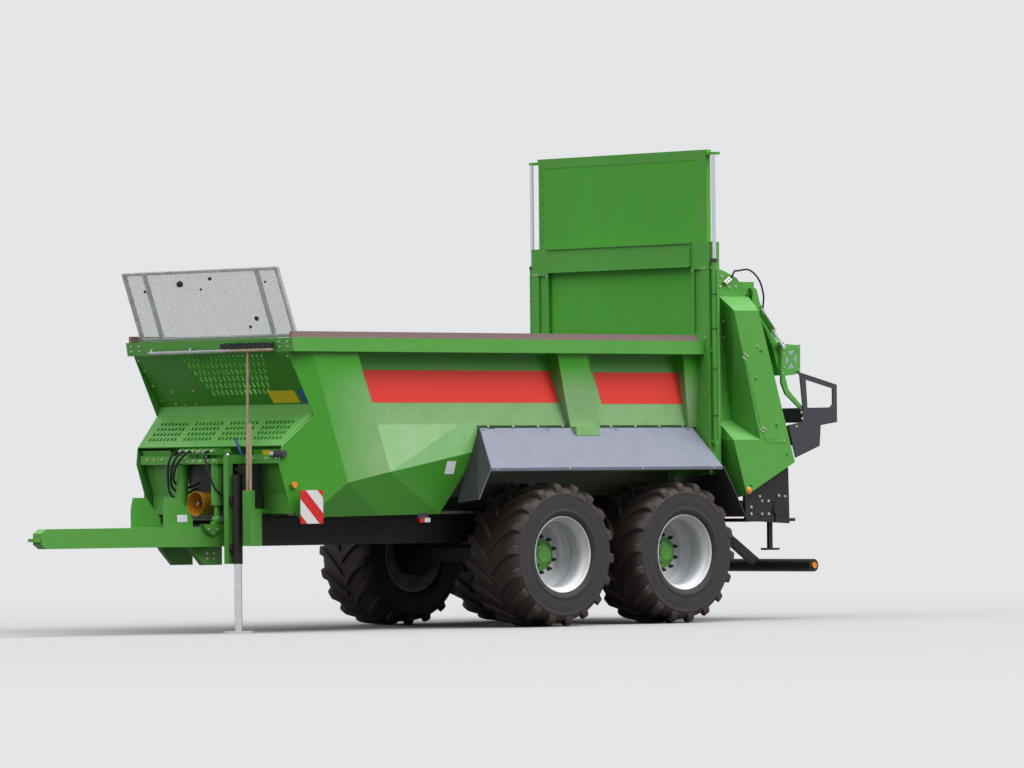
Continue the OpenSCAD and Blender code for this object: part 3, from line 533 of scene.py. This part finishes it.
def hubShape():
    # flange, five ribs from 92 to 138 mm out, cap
    flange = [(0.148, -0.005), (0.148, 0.006), (0.141, 0.01), (0.1, 0.016), (0.0915, 0.016),
              (0.0915, -0.005)]
    cap = [(0.0, 0.04), (0.088, 0.04), (0.088, 0.05), (0.076, 0.062), (0.02, 0.066), (0.0, 0.066)]
    hub = [lathe(flange, sides=40, ring=True)]
    for a in np.arange(5) * 2 * math.pi / 5:
        foot = [(r * math.cos(a + t), 0.012, r * math.sin(a + t)) for r, t in
                ((0.0915, -0.08), (0.0915, 0.08), (0.138, 0.05), (0.138, -0.05))]
        hub.append(prism(foot, (0, 0.02, 0)))
    hub.append(lathe(cap))
    return joined(hub)


def buildWheels():
    points, faces, soil = treadShape()
    # ten nuts on a circle 169 mm out, in front of the disc
    nut = [(0.021, 0), (0.021, 0.008), (0.017, 0.01), (0.017, 0.03), (0.01, 0.034), (0.01, 0.046)]
    nutPlaces = [(0.169 * math.cos(a), -0.0055, 0.169 * math.sin(a))
                 for a in 0.3 + np.arange(10) * math.pi / 5]
    # darker ring inside the barrel: painted shade in the rim's well, with some dust
    wellShade = [(0.3135, 0.182), (0.3105, 0.17), (0.3105, 0.072), (0.3135, 0.062), (0.3155, 0.12)]
    valve = [(0.0, 0.03, -0.306), (0.0, 0.07, -0.294), (0.0, 0.1, -0.284)]
    pieces = [
        ("hubcap", hubShape(), greenEnamel, 40),
        ("nuts", joined([lathe(nut, p, sides=6) for p in nutPlaces]), blackEnamel, 30),
        ("rim_rings", joined([lathe(r, sides=96, ring=True) for r in rimRings]), rimEnamel, 50),
        ("rim_well_shade", lathe(wellShade, sides=96, ring=True), wellShadeEnamel, 50),
        ("valve", tube(valve, 0.006), boltSteel, 60),
    ]
    for end in wheelPlan["axles"]:
        for hand, side in bothSides:
            body = f"wheel_{end}_{hand}"
            tread = addPiece(f"tread_{end}_{hand}", wheelPoint(end, side, points), faces, treadMat, body,
                             smooth=38, soil=soil)
            soften(tread, 0.005, 1)
            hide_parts(f"tyre_{end}_{hand}")
            for label, (places, sheets), finish, smooth in pieces:
                addPiece(f"{label}_{end}_{hand}", wheelPoint(end, side, places), sheets, finish, body,
                         smooth=smooth)


buildWheels()
print("wheels made")


def wallY(z):
    # outside of the trough's upper wall: it leans out by 35 mm over 680 mm of height
    return 1.0 + 0.035 * (2.58 - z) / 0.68


def frontX(z):
    # outside of the upper front wall, which leans out towards the rim
    return 2.1 + (z - 2.11) * 0.34 / 0.47


def plateX(z):
    # face of the lower front plates, which lean the same way
    return 2.3 + (z - 1.274) * 0.132 / 0.416


def filmPlate(name, surface, yRange, zRange, film):
    # blank plate 1.6 mm thick on a leaning front face
    (y0, y1), (z0, z1) = yRange, zRange
    outline = [(surface(z) + 0.0006, y, z) for y, z in ((y0, z0), (y1, z0), (y1, z1), (y0, z1))]
    addPiece(name, *prism(outline, (0.0014, 0, -0.0008)), film)


bandPlan = [
    dict(front=[(1.445, 2.415), (1.342, 2.115)], rear=[(-0.918, 2.415), (-1.022, 2.115)]),
    dict(front=[(-1.484, 2.405), (-1.578, 2.105)], rear=[(-2.634, 2.405), (-2.662, 2.105)]),
]


def buildBands():
    # broad red bands on the wall, left blank
    for number, plan in enumerate(bandPlan):
        (x0, z0), (x1, z1) = plan["front"]
        (x2, _), (x3, _) = plan["rear"]
        outline = [(x, wallY(z) + 0.0004, z) for x, z in ((x0, z0), (x1, z1), (x3, z1), (x2, z0))]
        shape = prism(outline, (0, 0.0016, 0))
        for hand, side in bothSides:
            addPiece(f"red_band_{number + 1}_{hand}", *sided(side, shape), redFilm)


def buildSideTrim():
    for hand, side in bothSides:
        lip = block((2.40, 0.998, 2.568), (-2.79, 1.05, 2.5795))
        soften(addPiece(f"rim_lip_{hand}", *sided(side, lip), greenEnamel), 0.002)
        # bolts and rolled edge of the fender, where it meets the wall and along its lower lip
        heads = bolts([(x, 1.082, 1.885) for x in (-2.6, -2.28, -1.96, -1.64, -1.01, -0.69, -0.37, -0.05)],
                      (0, 0.72, 0.69))
        slots = joined([block((x, 1.085, 1.8845), (x + 0.012, 1.093, 1.873))
                        for x in (-0.13, -0.105, -0.08, -0.055)])
        lipBolts = bolts([(x, 1.4, 1.485) for x in (-2.7, -1.75, -0.8, 0.13)], (0, 1, 0), 0.018)
        addPiece(f"fender_bolts_{hand}", *sided(side, joined([heads, lipBolts])), boltSteel, smooth=30)
        addPiece(f"fender_slots_{hand}", *sided(side, slots), flapRubber, slot="grey_paint")
        edge = block((-2.82, 1.386, 1.468), (0.205, 1.4035, 1.4735))
        addPiece(f"fender_edge_{hand}", *sided(side, edge), flapRubber)
        # dark sheet over the fender's front slope
        slope = [(0.0585, 1.08, 1.876), (0.2105, 1.4, 1.501), (0.372, 1.4, 1.206), (0.341, 1.08, 1.175)]
        addPiece(f"fender_front_{hand}", *sided(side, prism(slope, (0.003, 0, 0.0015))), darkEnamel)
        # wedge that closes the foot of the second rib down to the fender
        wedge = prism([(-1.13, 1.072, 1.886), (-1.13, 1.148, 1.886), (-1.13, 1.148, 1.801)], (-0.305, 0, 0))
        addPiece(f"rib_foot_{hand}", *sided(side, wedge), greenWalls)


def buildFrontPlates():
    filmPlate("plate_yellow_top", frontX, (0.514, 0.889), (2.116, 2.227), yellowFilm)
    filmPlate("plate_blue_top", frontX, (0.937, 1.051), (2.116, 2.24), blueFilm)
    filmPlate("plate_yellow_low", plateX, (0.72, 0.947), (1.57, 1.68), yellowFilm)
    # white plate flat on the skirt's slope
    slopeOut = np.array([-0.1, 0.954, -0.284])
    corners = np.array([(0.475, 1.0894, 1.567), (0.35, 1.0761, 1.5665), (0.353, 1.0407, 1.4465),
                        (0.483, 1.0544, 1.447)])
    addPiece("plate_white_skirt", *prism(corners + slopeOut * 0.0006, slopeOut * 0.0014), whiteFilm)
    addPiece("plate_white_drawbar", *block((2.93, 0.2402, 1.03), (3.05, 0.2416, 1.095)), whiteFilm)


def buildSkirtLamp():
    # small lamp that hangs under the skirt: red half and clear half in a black holder
    addPiece("skirt_lamp_holder", *block((0.6, 0.93, 1.03), (0.73, 0.955, 1.1)), flapRubber,
             slot="black_paint")
    addPiece("skirt_lamp_red", *block((0.672, 0.955, 1.0), (0.73, 0.985, 1.04)), redLens)
    addPiece("skirt_lamp_clear", *block((0.6, 0.955, 1.0), (0.668, 0.985, 1.04)), clearLens)


def buildRimRail():
    # grab rail on brackets along the front of the rim
    rail = [tube([(2.492, y, 2.6) for y in np.linspace(-0.817, 0.358, 12)], 0.015, 12)]
    rail += [tube([(2.45, y, 2.63), (2.478, y, 2.63), (2.492, y, 2.6)], 0.009)
             for y in (-0.79, -0.23, 0.33)]
    addPiece("rim_rail", *joined(rail), zincSteel, smooth=50)


def buildWallBolts():
    # bolts of the rim's front and of the wall below it
    rimBolts = bolts([(2.447, y, 2.625) for y in (-1.12, -1.0, 0.5, 0.62, 1.0, 1.12)]
                     + [(2.454, y, 2.668) for y in (-1.12, -1.0, 1.0, 1.12)], (0.98, 0, -0.16))
    wallPlaces = [(y, z) for y in (-1.06, 1.075) for z in (2.16, 2.3, 2.44, 2.54)]
    wallPlaces += [(-0.834, 2.241), (-0.52, 2.247), (-0.875, 2.127), (-0.741, 2.12), (-0.582, 2.125)]
    wallBolts = bolts([(frontX(z) + 0.001, y, z) for y, z in wallPlaces], (0.81, 0, -0.586), 0.02)
    addPiece("front_bolts", *joined([rimBolts, wallBolts]), boltSteel)


buildBands()
buildSideTrim()
buildFrontPlates()
buildSkirtLamp()
buildRimRail()
buildWallBolts()


def buildUnderTrim():
    # black hose lines along the frame's outer side, which also fill the gap under the skirt as painted
    # shade; a black rubber strip above each mudflap and a black sheet behind the drive cone, both painted
    # shade where those gaps lie in shadow
    lines = [tube([(-2.7, 0.545, z), (2.34, 0.545, z)], 0.017, 10) for z in (1.056, 1.084, 1.112)]
    clamps = [block((x, 0.501, 1.036), (x + 0.03, 0.566, 1.132)) for x in np.linspace(-2.5, 2.2, 7)]
    # black strip: painted shade in the gap above each mudflap
    rail = joined([block((-2.93, 0.55, 1.345), (-2.92, 1.008, 1.5)),
                   block((-2.93, 1.008, 1.345), (-2.92, 1.25, 1.4195))])
    for hand, side in bothSides:
        addPiece(f"frame_lines_{hand}", *sided(side, joined(lines + clamps)), hoseRubber)
        addPiece(f"flap_shade_strip_{hand}", *sided(side, rail), flapRubber)
    # black sheet: painted shade behind the drive cone
    addPiece("drive_cone_shade_sheet", *block((2.353, -0.388, 1.05), (2.358, 0.388, 1.556)), flapRubber)


buildUnderTrim()


guardPlan = dict(lean=math.radians(20), foot=(2.325, 2.705), halfWide=1.085, tall=0.69, pitch=0.034,
                 wire=0.0019)


def guardPoint(u, v, out=0.0):
    # u across, v up the guard's own plane, which leans forward over the front rim
    c, s = math.cos(guardPlan["lean"]), math.sin(guardPlan["lean"])
    return np.stack([guardPlan["foot"][0] + v * s + out * c, u, guardPlan["foot"][1] + v * c - out * s], -1)


def buildGuardMesh():
    # expanded mesh as two families of slanted wires cut to the frame
    w, t = guardPlan["halfWide"], guardPlan["tall"]
    low, high, slope = 0.02, t - 0.005, 0.55
    wires = []
    for family in (1, -1):
        for c in np.arange(-w - t / slope, w + t / slope, guardPlan["pitch"]):
            # line u = c + family * v / slope, cut to -w < u < w and low < v < high
            cut = [(edge - c) * slope * family for edge in (-w, w)]
            ends = sorted([v for v in (low, high) if abs(c + family * v / slope) <= w]
                          + [v for v in cut if low < v < high])
            if len(ends) == 2 and ends[1] - ends[0] > 0.02:
                v = np.array(ends)
                line = guardPoint(c + family * v / slope, v, 0.002 * family)
                wires.append(tube(line, guardPlan["wire"], 4))
    mesh = addPiece("guard_mesh", *joined(wires), meshSteel)
    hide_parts("mesh_guard")


def buildGuardFrame():
    # four flat bars up the guard and two across it
    bars = []
    for y in (-1.11, -0.82, 0.785, 1.075):
        foot = [guardPoint(y + a, 0.004, o)
                for a, o in ((0, -0.017), (0.035, -0.017), (0.035, 0.017), (0, 0.017))]
        bars.append(prism(foot, guardPoint(0.0, 0.684) - guardPoint(0.0, 0.0)))
    for v in (0.012, 0.662):
        end = [guardPoint(-1.108, v + b, o)
               for b, o in ((0, -0.016), (0.028, -0.016), (0.028, 0.016), (0, 0.016))]
        bars.append(prism(end, (0, 2.216, 0)))
    soften(addPiece("guard_frame", *joined(bars), zincSteel), 0.004)


def buildGuardClods():
    # dried clods caught in the mesh: lumpy balls, radius times 1 + 0.3 sin(3 turn) per ring
    clods = []
    for u, v, r in ((-0.33, 0.56, 0.035), (0.12, 0.6, 0.02), (-0.05, 0.5, 0.013), (0.62, 0.2, 0.024),
                    (0.5, 0.12, 0.016), (-0.86, 0.5, 0.014), (0.88, 0.55, 0.011)):
        profile = [(r * math.sin(a) * (1 + 0.3 * math.sin(3 * a + u)), -0.7 * r * math.cos(a))
                   for a in np.linspace(0.15, 3.0, 7)]
        clods.append(lathe(profile, guardPoint(u, v), (0.9, 0.1, -0.3), 9))
    addPiece("guard_clods", *joined(clods), soilClod, smooth=60)


buildGuardMesh()
buildGuardFrame()
buildGuardClods()
print("hopper trim made")


def hose(name, points, radius):
    # plain hose held at both ends: one smooth curve through its points
    addPiece(name, *tube(curveThrough(points), radius, 10), hoseRubber, slot="flap_rubber", smooth=60)


def ball(centre, r, flat=1.0):
    # (r sin a, r cos a) turned about the X axis, squeezed along it
    return lathe([(r * math.sin(a), -flat * r * math.cos(a)) for a in np.linspace(0.05, math.pi - 0.05, 9)],
                 centre, (1, 0, 0), 14)


def buildTools():
    # broom and a second tool stand in the pocket, the broom's head across in front of the rim
    handles = [tube(curveThrough([(2.585, 0.69, 1.3), (2.56, 0.665, 1.6), (2.52, 0.628, 2.1),
                                  (2.472, 0.581, 2.592)], 6), 0.014, 12),
               tube([(2.587, 0.737, z) for z in np.linspace(1.3, 1.93, 8)], 0.014, 12)]
    addPiece("tool_handles", *joined(handles), handleWood, smooth=60)
    head = addPiece("tool_head", *block((2.462, 0.208, 2.585), (2.505, 0.941, 2.612)), handleWood)
    soften(head, 0.008)
    tufts = [tube([(x, y, 2.61), (x + 0.3 * (x - 2.4835), y + 0.02 * math.sin(97 * y),
                                  2.662 + 0.008 * math.sin(211 * y))], 0.0055, 5)
             for y in np.linspace(0.222, 0.928, 44) for x in (2.472, 2.4835, 2.495)]
    addPiece("tool_bristles", *joined(tufts), flapRubber)
    lever = tube(curveThrough([(2.5, 0.42, 1.793), (2.495, 0.45, 1.74), (2.49, 0.475, 1.69),
                               (2.47, 0.49, 1.638)], 5), 0.013, 10)
    addPiece("blue_lever", *lever, bluePlastic, smooth=50)


def buildWorkLamp():
    # work lamp over the low plate: black shell, bright lens
    shell = lathe([(0.0, 0), (0.03, 0.004), (0.036, 0.03), (0.036, 0.12), (0.03, 0.125), (0.0, 0.125)],
                  (2.45, 0.94, 1.645), (0.05, 1, 0.0), 20)
    lens = lathe([(0.0, 0), (0.024, 0.002), (0.034, 0.012), (0.034, 0.07), (0.0, 0.07)],
                 (2.449, 0.872, 1.645), (0.05, 1, 0.0), 20)
    addPiece("work_lamp_shell", *joined([shell, block((2.4, 0.98, 1.6), (2.45, 1.0, 1.65))]), flapRubber,
             slot="black_paint", smooth=40)
    addPiece("work_lamp_lens", *lens, chromeRod, smooth=40)


def buildValve():
    # valve with its yellow tag on the black box
    foot = [(0.028, 0), (0.03, 0.05), (0.022, 0.075), (0.0, 0.08)]
    knob = [(0.022, 0), (0.024, 0.06), (0.016, 0.07), (0.0, 0.07)]
    valve = [block((2.5, 0.39, 1.44), (2.56, 0.46, 1.56)), lathe(foot, (2.53, 0.425, 1.4), (0, 0, -1), 14),
             lathe(knob, (2.53, 0.46, 1.5), (0, 1, 0), 14)]
    addPiece("hydraulic_valve", *joined(valve), blackEnamel, smooth=40)
    addPiece("valve_tag", *block((2.5605, 0.395, 1.47), (2.562, 0.413, 1.53)), yellowFilm,
             slot="yellow_plastic")


def buildBallLamps():
    # two ball lamps with bright rings on the head beam
    addPiece("ball_lamps", *joined([ball((2.5, y, 1.628), 0.036, 0.8) for y in (0.01, 0.33)]), blackEnamel,
             smooth=60)
    ring = [(0.03, 0.0), (0.033, 0.006), (0.022, 0.02), (0.018, 0.012)]
    rings = joined([lathe(ring, (2.515, y, 1.628), (1, 0, 0), 18, True) for y in (0.01, 0.33)])
    addPiece("ball_lamp_rings", *rings, chromeRod, smooth=50)


def buildFasteners():
    # blue tag on the black box, then bolts, couplings and pins of the whole front
    addPiece("box_tag", *block((2.5525, 0.64, 1.2), (2.554, 0.68, 1.27)), blueFilm, slot="white_sheet")
    rows = bolts([(2.4505, y, 1.605) for y in (*np.linspace(-0.9, -0.36, 6), 0.4, 0.62, 0.8, 0.95)]
                 + [(2.6405, y, 1.585) for y in np.linspace(-0.29, 0.29, 7)], (1, 0, 0), 0.024)
    plug = [(0.014, 0), (0.017, 0.004), (0.017, 0.03), (0.012, 0.034), (0.012, 0.05), (0.0, 0.05)]
    couplings = joined([lathe(plug, (2.5605, y, 1.675), (1, 0, 0), 10)
                        for y in (-0.27, -0.18, -0.09, 0.0, 0.09, 0.18)])
    keelBolts = bolts([(x, 0.2405, z) for x in (2.62, 2.7) for z in (0.69, 0.74)]
                      + [(x, 0.3455, 0.96) for x in (2.66, 2.76)], (0, 1, 0))
    pin = [(0.0, 0), (0.02, 0), (0.022, 0.004), (0.022, 0.014), (0.0, 0.016)]
    cylinderPins = joined([lathe(pin, (2.577, y, 1.05), (0, 1, 0), 14) for y in (0.285, -0.301)])
    addPiece("front_fasteners", *joined([rows, couplings, keelBolts, cylinderPins]), boltSteel, smooth=30)


def buildFeedHoses():
    # feed hoses hang from the couplings and run back under the console's plate, clear of the drive cone
    for k, (y, end, drop) in enumerate(((-0.27, -0.33, 1.3), (-0.18, -0.3, 1.36), (-0.09, -0.27, 1.41),
                                        (0.18, 0.32, 1.33))):
        path = [(2.6, y, 1.675), (2.66, y, 1.66), (2.7, (y + end) / 2, 1.55), (2.66, end, drop),
                (2.52, end, drop - 0.07), (2.37, end, drop - 0.03), (2.345, end, drop)]
        hose(f"feed_hose_{k + 1}", path, 0.011)


buildTools()
buildWorkLamp()
buildValve()
buildBallLamps()
buildFasteners()
buildFeedHoses()
print("front made")


def buildPostTrim():
    for hand, side in bothSides:
        clamp = [(0.0293, 0), (0.0315, 0.001), (0.0315, 0.011), (0.0293, 0.012)]
        gland = [(0.0205, 0), (0.034, 0), (0.034, 0.028), (0.027, 0.034), (0.0205, 0.034)]
        rings = joined([lathe(profile, (-2.845, side * 1.285, z), (0, 0, 1), 24, True) for profile, z in
                        ((clamp, 1.98), (clamp, 2.43), (clamp, 2.82), (clamp, 3.15), (gland, 3.469))])
        addPiece(f"barrel_clamps_{hand}", *rings, darkEnamel, smooth=40)
        pipe = curveThrough([(-2.845, side * 1.3225, z) for z in (1.76, 2.3, 2.9, 3.4)], 3)
        addPiece(f"barrel_pipe_{hand}", *tube(pipe, 0.006), greenEnamel, smooth=60)
        places = [(-2.8005, side * y, z) for y, z in (
            (1.03, 3.39), (1.17, 3.41), (1.205, 3.41), (1.03, 2.74), (1.2, 2.74), (1.205, 2.2),
            (1.205, 1.83))]
        addPiece(f"post_bolts_{hand}", *bolts(places, (1, 0, 0)), boltSteel)


def buildGateTrim():
    # folded lips of the beam above the gate's opening
    lips = [block((-2.776, -1.013, z), (-2.757, 1.013, z + 0.012)) for z in (3.426, 3.654)]
    addPiece("beam_lips", *joined(lips), greenEnamel)
    # flat frame on the gate's sheet, thin enough to slide through the collar, and the weld dimples beside it
    frameBars = [block((-2.8435, y0, z0), (-2.8397, y1, z1)) for y0, y1, z0, z1 in
                 ((-1.18, 1.18, 4.462, 4.557), (1.125, 1.18, 2.121, 4.462), (-1.18, -1.15, 2.121, 4.462))]
    addPiece("gate_frame_bars", *joined(frameBars), greenEnamel, "gate_slide")
    welds = joined([block((-2.8435, -1.128, z), (-2.8397, -1.116, z + 0.03))
                    for z in np.arange(2.3, 4.4, 0.09)])
    addPiece("gate_welds", *welds, greenInside, "gate_slide")
    # bolts along the bottom member of the raised gate
    low = bolts([(-2.8425, y, 2.15) for y in np.linspace(-1.1, 1.1, 12)], (1, 0, 0), 0.02)
    addPiece("gate_bolts", *low, boltSteel, "gate_slide")


slantBolts = [(-3.046, 1.201, 2.904), (-3.077, 1.177, 2.746), (-3.123, 1.184, 2.523), (-3.162, 1.2, 2.334),
              (-3.201, 1.221, 2.149), (-3.241, 1.242, 1.963)]
faceBolts = [(-3.135, 2.578), (-3.114, 2.545), (-3.166, 2.56), (-3.137, 2.525), (-3.307, 2.657),
             (-3.335, 1.85), (-3.364, 1.866), (-3.397, 1.857), (-3.368, 1.832), (-3.651, 1.742)]
tableBolts = [(-3.266, 1.101), (-3.265, 1.035), (-3.413, 1.159), (-3.411, 1.033), (-3.5, 1.158),
              (-3.5, 1.032), (-3.382, 1.204), (-3.644, 1.209), (-3.728, 1.201)]
topBolts = [(-3.049, 3.238), (-3.167, 3.235), (-3.26, 3.237), (-3.071, 3.335), (-3.196, 3.325)]
hoodBolts = [(-3.87, 2.59), (-3.87, 2.46), (-4.067, 2.655), (-4.07, 2.435), (-3.86, 2.4)]


def buildUnitBolts(hand, side):
    fixed = [bolts(slantBolts, (0.98, 0.06, -0.2))]
    fixed += [bolts([(x, y, z) for x, z in places], (0, 1, 0), size) for places, y, size in
              ((faceBolts, 1.4, 0.02), (tableBolts, 1.33, 0.024), (topBolts, 1.15, 0.024))]
    addPiece(f"unit_bolts_{hand}", *sided(side, joined(fixed)), boltSteel)


def buildDoorSeam(hand, side):
    # seam of the access door on the outer face
    seam = [(-3.145, 2.5), (-3.332, 1.9), (-3.414, 1.722), (-3.665, 1.711)]
    strips = [acrossPlate([a, b, (b[0] + 0.005, b[1] + 0.003), (a[0] + 0.005, a[1] + 0.003)],
                          1.3995, 1.4012) for a, b in zip(seam, seam[1:])]
    addPiece(f"door_seam_{hand}", *sided(side, joined(strips)), blackEnamel, slot="green_paint")


def buildCornerLamp(hand, side):
    # amber lamp on the low front corner
    lamp = lathe([(0.0, 0), (0.034, 0), (0.034, 0.006), (0.026, 0.0125), (0.0, 0.013)],
                 (-3.17, 1.4, 1.262), (0, 1, 0), 18)
    addPiece(f"corner_lamp_{hand}", *sided(side, lamp), amberLens, smooth=40)


def buildTopFittings(hand, side):
    # fittings on the top plate, and a hose from there to the cylinder's fixed pin
    fittings = [tube([(-3.09, 1.165, 3.275), (-3.16, 1.168, 3.325)], 0.014, 10),
                tube([(-3.12, 1.165, 3.262), (-3.19, 1.168, 3.312)], 0.014, 10),
                lathe([(0.0, 0), (0.018, 0), (0.018, 0.02), (0.01, 0.026), (0.0, 0.026)],
                      (-3.15, 1.15, 3.29), (0, 1, 0), 12),
                lathe([(0.0, 0), (0.0085, 0), (0.0085, 0.0095), (0.016, 0.0105), (0.016, 0.024),
                       (0.0, 0.024)], (-3.52, 1.2445, 3.02), (0, 1, 0), 16)]
    addPiece(f"top_fittings_{hand}", *sided(side, joined(fittings)), boltSteel, smooth=40)
    path = [(-3.185, 1.168, 3.309), (-3.215, 1.185, 3.385), (-3.25, 1.2, 3.392), (-3.36, 1.24, 3.4),
            (-3.47, 1.262, 3.31), (-3.53, 1.264, 3.16), (-3.521, 1.2635, 3.03)]
    hose(f"strut_hose_{hand}", [(x, side * y, z) for x, y, z in path], 0.009)


def buildStrutPipe(hand, side):
    # the cylinder's own pipe, on the barrel
    pin, eye = np.array([-3.52, 1.218, 3.02]), np.array([-3.835, 1.218, 2.665])
    along = (eye - pin) / np.linalg.norm(eye - pin)
    line = [pin + along * s + [0, h, 0]
            for s, h in ((0.05, 0.036), (0.1, 0.041), (0.2, 0.041), (0.255, 0.036))]
    ring = [(0.0305, 0), (0.034, 0.002), (0.034, 0.028), (0.0305, 0.03)]
    collar = lathe(ring, pin + along * 0.248, along, 20, True)
    addPiece(f"strut_pipe_{hand}", *sided(side, joined([tube(line, 0.006), collar])), boltSteel,
             "hood_strut", smooth=50)


def buildHoodTrim(hand, side):
    # reflector sheets in the four fields of the brace on the hood's end board, and its bolts
    films = []
    centre = np.array((-3.968, 2.535))
    corners = np.array([(-3.862, 2.64), (-4.082, 2.664), (-4.08, 2.43), (-3.868, 2.402)])
    for p, q in zip(corners, np.roll(corners, -1, 0)):
        field = [p * 0.72 + centre * 0.28 + (q - p) * 0.14, q * 0.72 + centre * 0.28 + (p - q) * 0.14,
                 centre * 0.74 + (p + q) * 0.13]
        films.append(acrossPlate(field, 1.1925, 1.1925 + 0.0012))
    addPiece(f"hood_reflectors_{hand}", *sided(side, joined(films)), reflector, "hood")
    heads = joined([bolts([(x, 1.192, z) for x, z in hoodBolts], (0, 1, 0), 0.018),
                    bolts([(-4.09, 1.2062, 2.02), (-4.1, 1.2062, 1.96), (-4.021, 1.2062, 1.88)],
                          (0, 1, 0))])
    addPiece(f"hood_bolts_{hand}", *sided(side, heads), boltSteel, "hood")


buildPostTrim()
buildGateTrim()
for hand, side in bothSides:
    for build in (buildUnitBolts, buildDoorSeam, buildCornerLamp, buildTopFittings, buildStrutPipe,
                  buildHoodTrim):
        build(hand, side)
print("unit made")


stagePlan = dict(floorHalf=400.0, backdrop="#e4e6e8", near=7.0, far=22.0)


def seenRay(tree):
    # 1 for what the camera sees straight, mirrored or through glass
    ray = addNode(tree, "LightPath")
    first = addNode(tree, "Math", {"operation": "MAXIMUM"},
                    {0: ray.outputs["Is Camera Ray"], 1: ray.outputs["Is Glossy Ray"]})
    return addNode(tree, "Math", {"operation": "MAXIMUM"},
                   {0: first, 1: ray.outputs["Is Transmission Ray"]})


def floorMaterial():
    # Pale matt floor that runs out into the backdrop's colour; light bounces off it as off brown ground.
    mat, tree, shader, coords = startMaterial("paleFloor")
    seen = seenRay(tree)
    colour = addNode(tree, "Mix", {6: "#3e372e", 7: "#b1b2b1"}, {0: seen})
    addNode(tree, shader, {"Roughness": 0.95, "Specular IOR Level": 0.1}, {"Base Color": colour})
    away = addNode(tree, "VectorMath", {"operation": "LENGTH"}, {0: coords})
    fade = addNode(tree, "MapRange", {"interpolation_type": "SMOOTHSTEP", "From Min": stagePlan["near"],
                                      "From Max": stagePlan["far"]}, {"Value": away.outputs["Value"]})
    share = addNode(tree, "Math", {"operation": "MULTIPLY"}, {0: fade, 1: seen})
    glow = addNode(tree, "Emission", {"Color": stagePlan["backdrop"], "Strength": 1.0})
    both = addNode(tree, "MixShader", links={0: share, 1: shader, 2: glow})
    addNode(tree, tree.nodes["Material Output"], links={"Surface": both})
    return mat


def buildFloor():
    half = stagePlan["floorHalf"]
    mesh = bpy.data.meshes.new("floor")
    mesh.from_pydata([(-half, -half, 0), (half, -half, 0), (half, half, 0), (-half, half, 0)], [],
                     [(0, 1, 2, 3)])
    floor = bpy.data.objects.new("floor", mesh)
    bpy.context.scene.collection.objects.link(floor)
    floor.data.materials.append(floorMaterial())


def buildSky():
    world = bpy.data.worlds.new("overcastSky")
    bpy.context.scene.world = world
    world.use_nodes = True
    tree = world.node_tree
    # overcast sky: dim at the horizon, brightest overhead
    height = addNode(tree, "SeparateXYZ", links={"Vector": addNode(tree, "TexCoord").outputs["Generated"]})
    rise = addNode(tree, "MapRange", {"From Min": -0.05, "From Max": 0.9}, {"Value": height.outputs["Z"]})
    sky = addNode(tree, "Mix", {6: "#50544f", 7: "#f4f7fa"}, {0: rise})
    light = addNode(tree, "Background", {"Strength": 0.72}, {"Color": sky})
    backdrop = addNode(tree, "Background", {"Color": stagePlan["backdrop"], "Strength": 1.0})
    both = addNode(tree, "MixShader", links={0: seenRay(tree), 1: light, 2: backdrop})
    addNode(tree, tree.nodes["World Output"], links={"Surface": both})


def buildSuns():
    # bright parts of the sky as wide suns: name, compass angle from X towards Y, height, power, width;
    # the angles in degrees
    for name, compass, rise, power, wide in (
            ("keySun", 100, 62, 2.0, 44), ("rearSky", 130, 40, 1.6, 50), ("frontFill", 0, 46, 1.3, 56)):
        light = bpy.data.lights.new(name, "SUN")
        light.energy = power
        light.angle = math.radians(wide)
        lamp = bpy.data.objects.new(name, light)
        lamp.rotation_euler = (math.radians(90 - rise), 0, math.radians(compass + 90))
        bpy.context.scene.collection.objects.link(lamp)


# the photo's view, a long lens 65 m away, solved from the wheels and the hopper's straight edges;
# azimuth and pitch in degrees, roll in radians
viewPlan = dict(focalPx=6841, widthPx=1024, filmMm=36, azimuth=42.73, pitch=0.8375, roll=0.0099,
                eye=(43.315, 48.367, 1.348))


def buildCamera():
    az, pitch = math.radians(viewPlan["azimuth"]), math.radians(viewPlan["pitch"])
    roll = viewPlan["roll"]
    ahead = Vector((-math.sin(az) * math.cos(pitch), -math.cos(az) * math.cos(pitch), math.sin(pitch)))
    right = ahead.cross(Vector((0, 0, 1))).normalized()
    above = right.cross(ahead)
    r = right * math.cos(roll) - above * math.sin(roll)
    u = above * math.cos(roll) + right * math.sin(roll)
    cam = bpy.data.cameras.new("photoView")
    cam.sensor_width = viewPlan["filmMm"]
    cam.lens = cam.sensor_width * viewPlan["focalPx"] / viewPlan["widthPx"]
    cam.clip_end = 1200
    eye = bpy.data.objects.new("photoView", cam)
    x, y, z = viewPlan["eye"]
    eye.matrix_world = Matrix(((r.x, u.x, -ahead.x, x), (r.y, u.y, -ahead.y, y), (r.z, u.z, -ahead.z, z),
                               (0, 0, 0, 1)))
    bpy.context.scene.collection.objects.link(eye)
    bpy.context.scene.camera = eye


buildFloor()
buildSky()
buildSuns()
buildCamera()
bpy.context.scene.view_settings.view_transform = "Standard"
print("stage and camera made")
